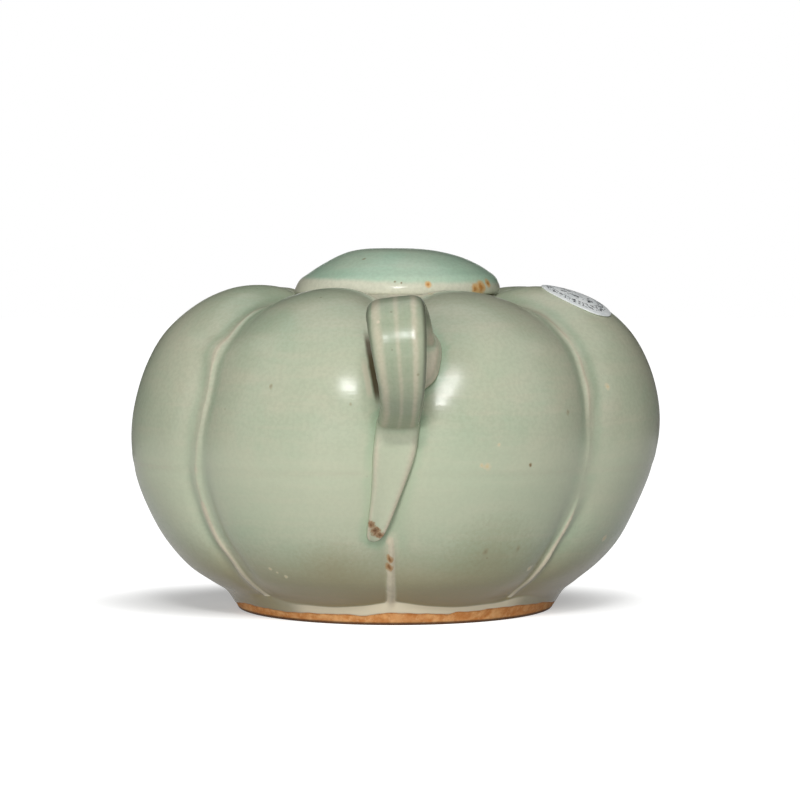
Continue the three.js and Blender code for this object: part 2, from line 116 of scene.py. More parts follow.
def turn_between(azimuth, centre):
    """Signed angle from a centre to an azimuth, the short way round."""
    return (azimuth - centre + math.pi) % (2 * math.pi) - math.pi


def evenly(table, places):
    """Values at places from 0 to 1 along a table of evenly spaced values."""
    return np.interp(places, np.linspace(0, 1, len(table)), table)


def along(table, run):
    """Value at each run of a smooth curve through a table of (run, value) pairs, level past its ends."""
    line = curve([(at, value, 0) for at, value in table], np.linspace(0, 1, 240))
    return np.interp(run, line[:, 0], line[:, 1])


DENSE = np.linspace(0, 1, 4001)
DENSE_CREST = curve(CREST, DENSE)
WAIST = int(np.argmax(DENSE_CREST[:, 0]))
CROWN = int(np.argmax(DENSE_CREST[:, 1]))
RUN = np.concatenate([[0], np.cumsum(np.hypot(*np.diff(DENSE_CREST[:, :2], axis=0).T))])

# How far from a groove the lobes follow its strays, in mm
STRAY_REACH = 15
# How far each groove strays sideways, in mm, by its number from the handle's on and its run up the wall
GROOVE_STRAYS = {
    0: [(3, -1.3), (15, -0.7), (34, 0), (139, 0)],
    1: [(7, -4.6), (19, -2.5), (32, 0.3), (40, 1.4), (51, 1.2), (74, 2), (98, 2.6), (114, 3.9), (139, 4)],
    2: [(5, 1), (40, -1.2), (75, 0.8), (110, -0.6), (139, 0)],
    3: [(5, -0.6), (45, 1.4), (85, -0.5), (120, 1), (139, 1)],
    4: [(5, 0.5), (30, -0.4), (60, 0), (139, 0)],
    5: [(5, -1), (38, 0.9), (80, -1.3), (115, 0.6), (139, 0.6)],
    6: [(5, 0.7), (50, -1.5), (90, 1), (125, -0.8), (139, -0.8)],
    7: [(6, -0.9), (20, -1.9), (33, -4.5), (46, -4.8), (57, -3.1), (71, -0.9), (89, -2.1), (97, -1.3),
        (110, -2.6), (127, -4.4), (139, -4.4)],
}


def run_at(place):
    """Way up the wall from the foot, in mm, at places along the crest."""
    return np.interp(place, DENSE, RUN)


def place_at_run(run):
    return np.interp(run, RUN, DENSE)


def stray(azimuth, run, radius):
    """How far the lobes are pushed sideways with their grooves, in mm."""
    total = 0
    for number, table in GROOVE_STRAYS.items():
        side = turn_between(azimuth, HANDLE_AZIMUTH + number * LOBE_ANGLE) * radius
        total = total + along(table, run) * bump(side, STRAY_REACH, 2.4)
    return total


def place_at_height(height):
    return np.interp(height, DENSE_CREST[:CROWN, 1], DENSE[:CROWN])


def place_at_radius(radius):
    return np.interp(radius, DENSE_CREST[WAIST:, 0][::-1], DENSE[WAIST:][::-1])


def crest_at(place):
    """Radius, height and groove depth, in mm, at places along a lobe's crest."""
    at = curve(CREST, place.ravel())
    return (at[:, k].reshape(place.shape) for k in range(3))


def from_crest(azimuth):
    """0 on a lobe's crest and 1 in a groove."""
    return np.abs(2 * ((azimuth / LOBE_ANGLE) % 1) - 1)


def from_groove(azimuth):
    """Angle to the nearest groove."""
    return np.abs(((azimuth / LOBE_ANGLE) + 0.5) % 1 - 0.5) * LOBE_ANGLE


def crown_share(height):
    return smoothstep(height, WAIST_HEIGHT, CROWN_HEIGHT)


def groove_power(height):
    """How narrow the grooves are: sharper at the waist than over the crown."""
    return GROOVE_SHARPNESS - (GROOVE_SHARPNESS - CROWN_SHARPNESS) * crown_share(height)


def skin(azimuth, place, outside=0, grooves=1, raised=0):
    """Points over the lobes; raised lifts the surface the way that the grooves are pressed in."""
    azimuth, place = np.asarray(azimuth, float), np.asarray(place, float)
    radius, height, depth = crest_at(place)
    way = curve(CREST, place.ravel() + 1e-4) - curve(CREST, place.ravel() - 1e-4)
    way /= np.maximum(np.hypot(way[:, 0], way[:, 1]), 1e-9)[:, None]
    ahead, climb = (way[:, k].reshape(place.shape) for k in range(2))
    dip = depth * grooves * from_crest(azimuth) ** groove_power(height) - raised
    lean = crown_share(height) * math.pi / 2
    out = radius + outside * climb - dip * np.cos(lean)
    up = height - outside * ahead - dip * np.sin(lean)
    rise = (height - FOOT_HEIGHT) / (CROWN_HEIGHT - FOOT_HEIGHT)
    warp = BODY_WARP * np.sin(2 * math.pi * rise)
    turn = azimuth + stray(azimuth, run_at(place), radius) / radius
    return np.stack([out * np.cos(turn) - warp, out * np.sin(turn), up + 0 * turn], axis=-1)


# Making meshes

# Two points nearer than this are one, in mm
DOUBLES_REACH = 0.004


def closed(rings):
    """A tube's rings with its two open ends drawn together in their middles."""
    ends = [np.repeat(ring.mean(axis=0)[None, None], len(ring), axis=1) for ring in rings[[0, -1]]]
    return np.concatenate([ends[0], rings, ends[1]])


def fresh_selection():
    bpy.ops.object.select_all(action="DESELECT")


def wrapped(name, points, **attributes):
    """A grid primitive with each of its points put in its place, in mm, and its seams and poles merged."""
    rows, columns = points.shape[:2]
    fresh_selection()
    bpy.ops.mesh.primitive_grid_add(x_subdivisions=columns - 1, y_subdivisions=rows - 1, size=2)
    piece = bpy.context.object
    piece.name = piece.data.name = name
    mesh = piece.data
    flat = np.empty(len(mesh.vertices) * 3)
    mesh.vertices.foreach_get("co", flat)
    flat = flat.reshape(-1, 3)
    column = np.rint((flat[:, 0] + 1) / 2 * (columns - 1)).astype(int)
    row = np.rint((flat[:, 1] + 1) / 2 * (rows - 1)).astype(int)
    mesh.vertices.foreach_set("co", (points[row, column] * MM).ravel())
    for title, values in attributes.items():
        layer = mesh.attributes.new(title, "FLOAT", "POINT")
        layer.data.foreach_set("value", np.ascontiguousarray(values[row, column], dtype=np.float32))
    mesh.update()
    merge_and_face_out()
    return piece


def merge_and_face_out():
    """Merges doubled points of the active mesh and turns its faces outward."""
    bpy.ops.object.mode_set(mode="EDIT")
    bpy.ops.mesh.select_all(action="SELECT")
    bpy.ops.mesh.remove_doubles(threshold=DOUBLES_REACH * MM)
    bpy.ops.mesh.normals_make_consistent(inside=False)
    bpy.ops.mesh.select_all(action="DESELECT")
    bpy.ops.object.mode_set(mode="OBJECT")
    bpy.ops.object.shade_smooth()


def turned(name, outline, steps=192):
    """A closed outline of (radius, height) pairs in mm, spun about the upright axis."""
    fresh_selection()
    bpy.ops.mesh.primitive_circle_add(vertices=len(outline), radius=MM)
    piece = bpy.context.object
    piece.name = piece.data.name = name
    for vertex, (radius, height) in zip(piece.data.vertices, outline):
        vertex.co = (radius * MM, 0, height * MM)
    bpy.ops.object.mode_set(mode="EDIT")
    bpy.ops.mesh.select_all(action="SELECT")
    bpy.ops.mesh.spin(steps=steps, angle=2 * math.pi, center=(0, 0, 0), axis=(0, 0, 1))
    bpy.ops.object.mode_set(mode="OBJECT")
    merge_and_face_out()
    return piece


def points_of(piece):
    flat = np.empty(len(piece.data.vertices) * 3)
    piece.data.vertices.foreach_get("co", flat)
    return flat.reshape(-1, 3) / MM


def set_points(piece, points):
    piece.data.vertices.foreach_set("co", (points * MM).ravel())
    piece.data.update()


def set_attribute(piece, title, values):
    layer = piece.data.attributes.get(title) or piece.data.attributes.new(title, "FLOAT", "POINT")
    layer.data.foreach_set("value", np.ascontiguousarray(values, dtype=np.float32))


def attribute(piece, title):
    values = np.empty(len(piece.data.vertices), dtype=np.float32)
    piece.data.attributes[title].data.foreach_get("value", values)
    return values


def apply_modifier(piece, kind, **settings):
    fresh_selection()
    piece.select_set(True)
    bpy.context.view_layer.objects.active = piece
    modifier = piece.modifiers.new(kind.title(), kind)
    for key, value in settings.items():
        setattr(modifier, key, value)
    bpy.ops.object.modifier_apply(modifier=modifier.name)


def finder(piece):
    """Nearest places on a piece's surface, in mm."""
    mesh = piece.data
    return BVHTree.FromPolygons([v.co / MM for v in mesh.vertices], [p.vertices for p in mesh.polygons])


def distances(tree, points, reach):
    """Distance of each point from a finder's surface, in mm, below zero inside it and at most the reach."""
    found = np.full(len(points), reach)
    for i, point in enumerate(points):
        place, normal, _, distance = tree.find_nearest(Vector(point), reach)
        if place is not None:
            found[i] = distance if (Vector(point) - place).dot(normal) >= 0 else -distance
    return found


def keep_within_wall(piece):
    """Draws in what reaches deep under the body's skin, so that it never shows inside."""
    points = points_of(piece)
    for i, point in enumerate(points):
        place, normal, _, distance = body_finder.find_nearest(Vector(point))
        if distance > HIDDEN_DEPTH and (Vector(point) - place).dot(normal) < 0:
            points[i] = place - normal * HIDDEN_DEPTH
    set_points(piece, points)


# Clay ribs in the grooves

RIB_HEIGHT = 1.5
RIB_HALF_WIDTH = 1.15
RIB_REACH = 6
# How boldly each rib stands, as a share of its full height, by its number and its run up the wall
RIB_STRENGTHS = {
    0: [(1, 0.9), (6, 1.1), (14, 1.15), (22, 1.2), (29, 0.9), (33, 0.1), (36, 0)],
    1: [(3, 0.5), (8, 0.8), (14, 0.9), (19, 1.2), (24, 0.9), (33, 0.6), (39, 0.3), (43, 0.02), (52, 0.04),
        (58, 0.1), (64, 0.22), (70, 0.5), (80, 0.55), (100, 0.5), (118, 0.35), (130, 0)],
    4: [(2, 0.2), (7, 0.8), (38, 0.8), (48, 0)],
    7: [(3, 0.6), (9, 0.95), (20, 0.9), (33, 0.7), (45, 0.48), (57, 0.4), (80, 0.4), (91, 0.85), (99, 0.5),
        (114, 0.45), (128, 0.2), (134, 0)],
}
PLAIN_RIB = [(3, 0.4), (9, 0.8), (50, 0.9), (100, 0.9), (118, 0.6), (130, 0)]
RIB_WIDTHS = {
    0: [(0, 1.1), (12, 1.15), (30, 1), (60, 1)],
    1: [(0, 0.7), (45, 0.7), (70, 1.1), (139, 1.2)],
    7: [(0, 0.9), (30, 0.95), (50, 1.05), (84, 1.05), (89, 1.8), (95, 1.6), (99, 1.1), (139, 1.2)],
}
PLAIN_WIDTHS = [(0, 0.9), (70, 1), (139, 1.1)]
# How deep the clay is pressed in along both sides of a rib, in mm
TRENCHES = {7: [(3, 0.2), (10, 0.5), (30, 0.7), (44, 0.5), (56, 0.1), (64, 0)],
            1: [(3, 0.2), (10, 0.4), (24, 0.5), (36, 0.3), (46, 0)]}
PLAIN_TRENCH = [(0, 0), (139, 0)]
# How smoothly each rib rises out of its groove, from 0 for a laid-on strip to 1 for a soft ridge
RIB_BLENDS = {7: [(8, 0.2), (28, 0.6), (42, 1), (139, 1)], 1: [(8, 0.2), (30, 0.7), (45, 1), (139, 1)]}
PLAIN_BLEND = [(0, 0.3), (139, 0.3)]
# The side on which a rib runs out broadly into its lobe: 1 for counter-clockwise, -1 for clockwise
RIB_FAR_SIDES = {1: 1, 7: -1}
# How softly each groove's floor is rounded, as a share of half a lobe's width
GROOVE_SOFTNESS = {1: [(24, 0.05), (33, 0.1), (43, 0.15), (56, 0.14), (66, 0.06), (139, 0.06)],
                   7: [(10, 0.05), (40, 0.08), (139, 0.07)]}
PLAIN_SOFTNESS = [(0, 0.05), (139, 0.05)]


def ridge(azimuth, place):
    """How far the clay rib in each groove stands over the skin, and how much of it is rib."""
    radius, height, depth = crest_at(place)
    run = run_at(place)
    power = groove_power(height)
    over_groove = depth * (1 - from_crest(azimuth) ** power)
    raised = np.zeros(np.broadcast(azimuth, place).shape)
    mask = np.zeros_like(raised)
    for number in range(LOBES):
        centre = HANDLE_AZIMUTH + number * LOBE_ANGLE
        sway = 0.22 * np.sin(run / 7.3 + 1.7 * number) + 0.16 * np.sin(run / 3.1 + 2.9 * number)
        side = turn_between(azimuth, centre) * radius - sway
        uneven = 1 + 0.1 * np.sin(run / 4.3 + 2.1 * number) + 0.08 * np.sin(run / 1.7 + 0.7 * number)
        strength = along(RIB_STRENGTHS.get(number, PLAIN_RIB), run).clip(0) * uneven
        half = RIB_HALF_WIDTH * along(RIB_WIDTHS.get(number, PLAIN_WIDTHS), run)
        half = half * (0.8 + 0.2 * uneven)
        crest_share = bump(side, half)
        shape = bump(side, np.where(side * RIB_FAR_SIDES.get(number, 0) > 0, 2.5, 1) * half)
        share = np.clip(np.abs(turn_between(azimuth, centre)) / (LOBE_ANGLE / 2), 0, 1)
        rounded = np.hypot(share, along(GROOVE_SOFTNESS.get(number, PLAIN_SOFTNESS), run) * (1 - share))
        floor = depth * ((1 - share) ** power - (1 - rounded) ** power)
        gain = RIB_HEIGHT * strength * shape - floor - 0.85 * over_groove * (shape > 0.02)
        soft = 0.5 * (gain + np.sqrt(gain ** 2 + 0.16 * np.minimum(strength, 1)))
        strip = np.where(np.abs(side) < RIB_REACH, soft, 0) * bump(side, 4.0, 6)
        blend = along(RIB_BLENDS.get(number, PLAIN_BLEND), run)
        rib = strip + blend * (RIB_HEIGHT * strength * shape - strip) + floor
        trench = along(TRENCHES.get(number, PLAIN_TRENCH), run) * bump(np.abs(side) - 4.2, 2.2)
        raised = np.where(share < 0.5, np.maximum(raised, rib) - trench, np.maximum(raised, rib))
        mask = np.maximum(mask, crest_share * np.clip(1.9 * strength, 0, 1.15))
    return raised, mask


# Body: its columns lie closer together beside the grooves

half_lobe = np.linspace(0, 1, 26, endpoint=False) ** 1.4 / 2
one_lobe = np.concatenate([half_lobe, [0.5], 1 - half_lobe[:0:-1]])
azimuths = np.concatenate([(lobe + one_lobe) * LOBE_ANGLE for lobe in range(LOBES)] + [[2 * math.pi]])
azimuths = azimuths[None, :]
SKIRT_RUN = 2.6
outer_places = place_at_run(np.linspace(SKIRT_RUN, RUN[-1], 169))[:, None]

# Soft dents in the wall: azimuth in degrees, run, half size and depth
DENTS = ((-149, 54, 9, 0.55), (-36, 63, 8, 0.5), (-160, 38, 12, 0.35), (-60, 36, 11, 0.3),
         (-118, 44, 13, 0.25), (10, 66, 12, 0.4), (62, 48, 11, 0.4), (125, 80, 12, 0.4), (158, 58, 10, 0.5))
# Broad swellings of the wall: azimuth in degrees, run, half width, half height and rise
SWELLINGS = ((-71, 91, 13, 15, 0.65), (-20, 75, 13, 16, 0.35), (-160, 80, 14, 26, 0.87),
             (-160, 42, 14, 14, 0.9), (-157, 116, 18, 16, 0.6), (-19, 99, 16, 18, 1.6),
             (-20, 12, 16, 8, -1.4), (-22, 55, 12, 22, 0.4), (-15, 132, 16, 7, -0.9))
# A slanting flat spot beside the handle: azimuth, run and depth
FLAT_AZIMUTH, FLAT_RUN, FLAT_DEPTH = math.radians(-78.5), 76, 0.7
VALLEY_DEPTH = 0.8
SEAM_DROP = 3.4


def seam_trace(azimuth):
    """Height, in mm, at which the seam between the two halves of the body shows through the glaze."""
    return SEAM_HEIGHT - SEAM_DROP + 0.5 * np.sin(3 * azimuth)


def unevenness(azimuth, place):
    """Small hand-made faults of the moulded lobes, in mm, inwards below zero."""
    radius, height, _ = crest_at(place)
    run = run_at(place)
    crowning = smoothstep(height, 80, CROWN_HEIGHT) * smoothstep(radius, 32, 40)
    front_right, front_left = (
        bump(turn_between(azimuth, HANDLE_AZIMUTH + side * LOBE_ANGLE / 2), LOBE_ANGLE * 0.42, 4)
        for side in (1, -1))
    groove_side = turn_between(azimuth, HANDLE_AZIMUTH) * radius
    valley = -VALLEY_DEPTH * bump(groove_side, 6.5) * smoothstep(run, 106, 116)
    fall = valley - crowning * (0.45 * front_right + 0.05 * front_left)
    wave = 0.16 * (np.sin(2.3 * azimuth + height / 17) + np.sin(5.1 * azimuth - height / 11)) - 0.2
    wave = wave * smoothstep(height, 8, 20) * smoothstep(radius, 33, 42)
    dents = 0
    for side, level, size, depth in DENTS:
        turn = turn_between(azimuth, math.radians(side)) * radius
        dents = dents - depth * np.exp(-(turn ** 2 + (run - level) ** 2) / size ** 2)
    for side, level, half_width, half_height, rise in SWELLINGS:
        turn = turn_between(azimuth, math.radians(side)) * radius
        dents = dents + rise * np.exp(-(turn / half_width) ** 2 - ((run - level) / half_height) ** 2)
    turn = turn_between(azimuth, FLAT_AZIMUTH) * radius
    rising = (turn + run - FLAT_RUN) / math.sqrt(2)
    falling = (turn - run + FLAT_RUN) / math.sqrt(2)
    flat = -FLAT_DEPTH * np.exp(-(rising / 9) ** 2 - (falling / 17) ** 2)
    over_seam = height - seam_trace(azimuth)
    seam = 0.07 * bump(over_seam - 2.4, 1.6) - 0.09 * bump(over_seam, 1.3)
    return fall + wave + dents + flat + seam * (place < place_at_radius(60))


rib_raised, rib_mask = ridge(azimuths, outer_places)
uneven = unevenness(azimuths, outer_places)
outer = skin(azimuths, outer_places, raised=rib_raised + uneven)

# Clay fills the groove between the handle and the cover up to the cover's rim
NECK_FILL = COVER_SEAT - 0.28
neck_side = turn_between(azimuths, HANDLE_AZIMUTH) * COVER_RADIUS
neck_reach = np.hypot(outer[:, :, 0], outer[:, :, 1])
fill_level = NECK_FILL + 0.6 * smoothstep(neck_reach, NECK_RADIUS, NECK_RADIUS + 0.8)
fill_level -= 0.35 * np.maximum(neck_reach - NECK_RADIUS - 1.6, 0)
above = outer[:, :, 2] - fill_level
filled = bump(neck_side, 10, 4) * (1 - smoothstep(neck_reach, 37, 44))
outer[:, :, 2] += filled * 0.5 * (np.sqrt(above ** 2 + 0.02) - above)

SHOULDER_RADIUS = NECK_RADIUS + (BODY_RADIUS - NECK_RADIUS) / 2
inner_places = np.linspace(place_at_radius(SHOULDER_RADIUS), 0, 34)[:, None]
inner = skin(azimuths, inner_places, outside=-BODY_WALL, grooves=INNER_GROOVE_SHARE)


def ring_at(azimuth, radius, height):
    return np.stack([radius * np.cos(azimuth), radius * np.sin(azimuth), height + 0 * azimuth], axis=-1)


def level_ring(radius, height):
    return ring_at(azimuths, radius, height)


# The glaze runs down over the foot to a ragged edge: its height in mm, by degrees round from the handle
CLAY_TOPS = [(-182, 3.2), (-130, 3), (-92, 1.5), (-78, 2.3), (-66, 3.2), (-40, 2.95), (-18, 3.1), (-10, 3),
             (-4.5, 3.85), (3, 3.9), (11, 3.6), (18, 3.1), (21, 3.75), (28, 3.75), (37, 4.4), (45, 4.3),
             (54, 4), (65, 3.5), (78, 2.5), (92, 1.6), (130, 3.2), (182, 3.2)]
# How pale the glaze is just over that edge, as a share
PALE_EDGE = [(-182, 0.6), (-120, 0.5), (-80, 0.1), (-55, 0.15), (-35, 0.6), (-20, 0.95), (0, 1), (20, 0.95),
             (35, 0.8), (50, 0.5), (70, 0.1), (90, 0.1), (130, 0.5), (182, 0.6)]
# Height and radius along the foot's outer face
FOOT_LEVELS = [0.25, 0.9, 2.9, 4.7, 5.6]
FOOT_RADII = [47.7, 48.1, 49.3, 50.2, 50.3]


def degrees_from_handle(azimuth):
    return np.degrees(turn_between(azimuth, HANDLE_AZIMUTH))


def clay_top(azimuth):
    """Height, in mm, at which the glaze ends on the foot."""
    ragged = 0.1 * np.sin(9 * azimuth) + 0.08 * np.sin(23 * azimuth)
    ragged = ragged + 0.06 * np.sin(57 * azimuth + 2 * np.sin(5 * azimuth))
    return along(CLAY_TOPS, degrees_from_handle(azimuth)) + ragged


skirt_azimuth = np.arctan2(outer[0, :, 1], outer[0, :, 0])
skirt_reach = np.hypot(outer[0, :, 0], outer[0, :, 1])
edge_level = clay_top(skirt_azimuth)
edge_reach = np.interp(edge_level, FOOT_LEVELS, FOOT_RADII) + 0.12
bend_reach = np.minimum(skirt_reach - 0.2, 51.1)
BEND_LEVEL = 5.8

# The skirt of glaze bends from the edge on the foot out to the lobes
skirt_line = [(edge_reach - 1.6, edge_level + 0.5), (edge_reach - 0.25, edge_level - 0.02)]
for share in np.linspace(0, 1, 12)[:-1]:
    shares = (1 - share) ** 2, 2 * share * (1 - share), share ** 2
    skirt_line.append((
        shares[0] * edge_reach + shares[1] * bend_reach + shares[2] * skirt_reach,
        shares[0] * edge_level + shares[1] * BEND_LEVEL + shares[2] * outer[0, :, 2]))
skirt = [ring_at(skirt_azimuth, reach, level)[None] for reach, level in skirt_line]

NECK_HOLE_RADIUS = 29.4
rings = [
    level_ring(0, FOOT_HEIGHT), level_ring(20, FOOT_HEIGHT), level_ring(42, FOOT_HEIGHT), *skirt, outer,
    level_ring(NECK_HOLE_RADIUS, NECK_FLOOR), level_ring(NECK_HOLE_RADIUS, NECK_CEILING),
    level_ring(NECK_RADIUS + 2.5, NECK_CEILING),
    inner, level_ring(25, inner[-1, 0, 2]), level_ring(0, inner[-1, 0, 2]),
]
body_points = np.concatenate(rings)

# Film of the glaze: thin on the ribs, the crests and just over the seam, pooled beside the grooves
film_rows = np.zeros(body_points.shape[:2])
heights = outer[:, :, 2]
groove_side = from_groove(azimuths) * neck_reach
beside = bump(groove_side - 3.2, 2.6) * smoothstep(heights, 10, 26)
crest = smoothstep(groove_side, 14, 26) * smoothstep(heights, 30, 50) * (1 - smoothstep(heights, 84, 95))
over_seam = heights - seam_trace(azimuths)
seam_film = 0.3 * bump(over_seam + 1.4, 1.1) - 0.42 * bump(over_seam - 1.1, 0.9)
seam_film = seam_film * (0.6 + 0.4 * np.sin(7 * azimuths + 1)) * (run_at(outer_places) < 60)
bare_rib = np.where(run_at(outer_places) < 40, 1.25, 0.75)
BASE_RINGS = 3
first = BASE_RINGS + len(skirt)
film_rows[first:first + len(outer)] = 0.5 * beside - 0.12 * crest + seam_film - bare_rib * rib_mask
low = slice(BASE_RINGS, first + 12)
low_azimuth = np.arctan2(body_points[low, :, 1], body_points[low, :, 0])
pale_top = 5.9 + 1.9 * bump(from_groove(low_azimuth), 0.13) + 0.2 * np.sin(17 * low_azimuth)
edge_share = along(PALE_EDGE, degrees_from_handle(low_azimuth))
film_rows[low] -= 1.1 * edge_share * (1 - smoothstep(body_points[low, :, 2], pale_top - 0.9, pale_top + 0.4))
film_rows[first:first + len(outer)] -= bump(neck_side, 10, 4) * smoothstep(run_at(outer_places), 121, 127)
film_rows = np.clip(film_rows, -1, 1)
body = wrapped("melon_body", body_points, film=film_rows)
body_finder = finder(body)
# How deep under the body's skin another piece may reach
HIDDEN_DEPTH = BODY_WALL * 0.48


# Spout

def path_through(shares, azimuth, reach, root, rise, places):
    """Places in mm and directions along a path, given as shares of its reach outward and of its rise."""
    points = [
        ((GROOVE_RADIUS + out * reach) * math.cos(azimuth), (GROOVE_RADIUS + out * reach) * math.sin(azimuth),
         root + up * rise) for out, up in shares
    ]
    middle = curve(points, places)
    way = curve(points, np.asarray(places) + 1e-4) - curve(points, np.asarray(places) - 1e-4)
    return middle, way / np.linalg.norm(way, axis=1)[:, None]


SPOUT_ROOT_HEIGHT = 61
SPOUT_RISE = 38
SPOUT_ROOT_RADIUS = 14
SPOUT_LIP_RADIUS = 6.4
SPOUT_ROOT_BORE = 8.2
SPOUT_LIP_BORE = 4.2
SPOUT_PATH = [(-.6, -.1), (-.1, .02), (.36, .16), (.69, .38), (.86, .64), (.96, .86), (1, 1)]
SPOUT_TAPER = [1, .96, .72, .42, .22, .1, .02, 0]
spout_reach = END_REACH - SPOUT_LIP_RADIUS - GROOVE_RADIUS
ACROSS = np.array([1.0, 0, 0])


def spout_path(places):
    return path_through(SPOUT_PATH, SPOUT_AZIMUTH, spout_reach, SPOUT_ROOT_HEIGHT, SPOUT_RISE, places)


def tube_rings(places, root, lip, sides=72):
    """Rings round the spout's path, from a root radius to a lip radius, and the path's directions."""
    middle, way = spout_path(places)
    up = np.cross(way, ACROSS)
    radius = lip + evenly(SPOUT_TAPER, places) * (root - lip)
    turn = np.linspace(0, 2 * math.pi, sides + 1)
    ray = ACROSS * np.cos(turn)[None, :, None] + up[:, None, :] * np.sin(turn)[None, :, None]
    return middle[:, None, :] + ray * radius[:, None, None], way


def softened(values, passes=6):
    """Values with their corners smoothed away and their ends kept."""
    for _ in range(passes):
        values = np.concatenate([values[:1], (values[:-2] + 2 * values[1:-1] + values[2:]) / 4, values[-1:]])
    return values


places_out = np.linspace(0.08, 1, 76)
outside_rings, way = tube_rings(places_out, SPOUT_ROOT_RADIUS, SPOUT_LIP_RADIUS)
bore_rings, _ = tube_rings(np.linspace(1, 0.08, 44), SPOUT_ROOT_BORE, SPOUT_LIP_BORE)
lip_middle = outside_rings[-1, :-1].mean(axis=0)
lip_rings = []
for turn in np.linspace(0, math.pi, 9)[1:-1]:
    size = (SPOUT_LIP_RADIUS + SPOUT_LIP_BORE) / 2 + (SPOUT_LIP_RADIUS - SPOUT_LIP_BORE) / 2 * math.cos(turn)
    ahead = -0.25 * (1 - math.sin(turn))
    round_lip = (outside_rings[-1] - lip_middle) * size / SPOUT_LIP_RADIUS
    lip_rings.append(lip_middle + round_lip + way[-1] * ahead)
for tube, nearest_lip in ((outside_rings, (-1, -2)), (bore_rings, (0, 1))):
    for ring, back in zip(nearest_lip, (0.9, 0.35)):
        tube[ring] -= way[-1] * back
spout_points = np.concatenate([outside_rings, np.array(lip_rings), bore_rings, outside_rings[:1]])
spout = wrapped("spout_tube", spout_points)

# The spout's root flares out to the body: how far from the body, and from what radius of the tube on
FILLET = 5.5
FLARE_START = SPOUT_ROOT_BORE + 0.4
points = points_of(spout)
gap = distances(body_finder, points, 30)
middle, way = spout_path(np.linspace(0, 1, 200))
nearest = np.argmin(((points[:, None, :] - middle[None]) ** 2).sum(axis=2), axis=1)
from_path = points - middle[nearest]
width = np.linalg.norm(from_path, axis=1)
flare = (FILLET - np.maximum(gap, -0.6)) ** 2 / (2.1 * FILLET)
flare = np.where((width > FLARE_START) & (gap < FILLET), flare, 0)
points += from_path / np.maximum(width, 1e-6)[:, None] * flare[:, None]
set_points(spout, points)
keep_within_wall(spout)
gap = distances(body_finder, points_of(spout), 30)

# The glaze is thin on the lip and pooled round the root
from_lip = np.linalg.norm(points_of(spout) - lip_middle, axis=1)
bare_lip = (gap > 12) * bump(from_lip - 6.2, 1.7)
set_attribute(spout, "film", np.clip(0.7 * bump(gap, 2.2) - 0.9 * bare_lip, -1, 1))

# The hole through the body's wall, in line with the spout's bore
hole_rings, _ = tube_rings(np.linspace(0, 0.3, 12), SPOUT_ROOT_BORE + 0.1, SPOUT_LIP_BORE, 48)
hole = wrapped("hole", closed(hole_rings))
apply_modifier(body, "BOOLEAN", operation="DIFFERENCE", object=hole, solver="EXACT")
bpy.data.objects.remove(hole)


# Handle: strap, root pad and tail, drawn into one another as soft clay

HANDLE_ROOT_HEIGHT = 60
HANDLE_SPAN = 33.3
STRAP_WIDTH = 16.4
STRAP_THICKNESS = 4.4
STRAP_PATH = [
    (-.46, .496), (-.119, .666), (.157, .887), (.477, 1), (.797, .945), (.95, .78),
    (1, .562), (.872, .34), (.604, .164), (.285, .051), (-.034, -.014), (-.29, -.042),
]
STRAP_WIDTHS = [1, .98, .98, .965, .985, .96, .88, .765, .7, .73, .77, .8]
STRAP_SIDES = [3.4, 3.3, 1.75, .35, .35, .8, 1.45, 2.05, 1.95, 1.35, .8, .4]
STRAP_OUTLINE = [
    (.84, -.5), (1, -.12), (.98, .16), (.88, .36), (.64, .458), (.36, .452), (.1, .46),
    (-.1, .46), (-.36, .452), (-.64, .458), (-.88, .36), (-.98, .16), (-1, -.12), (-.84, -.5),
]
HANDLE_SETBACK = 0.3
handle_reach = END_REACH - STRAP_THICKNESS / 2 - GROOVE_RADIUS - HANDLE_SETBACK


def closed_outline(outline, count):
    """Points of a smooth closed curve through the given ones."""
    around = [(wide, high, 0) for wide, high in outline]
    loop = around[-2:] + around + around[:3]
    span = len(loop) - 1
    return curve(loop, (2 + np.linspace(0, len(around), count + 1)) / span)[:, :2]


def swept(middle, out, wide, high):
    """Points of a section carried along a path, wide across the handle and high away from the body."""
    return middle[:, None, :] + ACROSS * wide[:, :, None] + out[:, None, :] * high[:, :, None]


strap_places = np.linspace(0, 1, 140)
strap_middle, strap_way = path_through(
    STRAP_PATH, HANDLE_AZIMUTH, handle_reach, HANDLE_ROOT_HEIGHT, HANDLE_SPAN, strap_places)
strap_out = np.cross(strap_way, ACROSS)
strap_middle[:, 0] += softened(evenly(STRAP_SIDES, strap_places))
strap_half = STRAP_WIDTH / 2 * softened(evenly(STRAP_WIDTHS, strap_places))
section = closed_outline(STRAP_OUTLINE, 72)
melting = smoothstep(strap_places, 0.78, 0.97)[:, None]
section_rise = np.where(section[:, 1] > 0.3, section[:, 1] * (1 - melting) + 0.4 * melting, section[:, 1])
section_side = section[None, :, 0]
bowed = section_side - np.where(section_side > 0, 1.5, 0.9) * section_side ** 4
roll = bump(strap_places - 0.33, 0.16)[:, None] * bowed
strap = wrapped("handle_loop", closed(swept(
    strap_middle, strap_out, section_side * strap_half[:, None], section_rise * STRAP_THICKNESS + roll)))
keep_within_wall(strap)

PAD_CENTRE_HEIGHT = 80
PAD_HALF_WIDTH = 8.4
PAD_HALF_HEIGHT = 10
PAD_SIDESTEP = 3.3
PAD_GROOVE_SHARE = 0.4
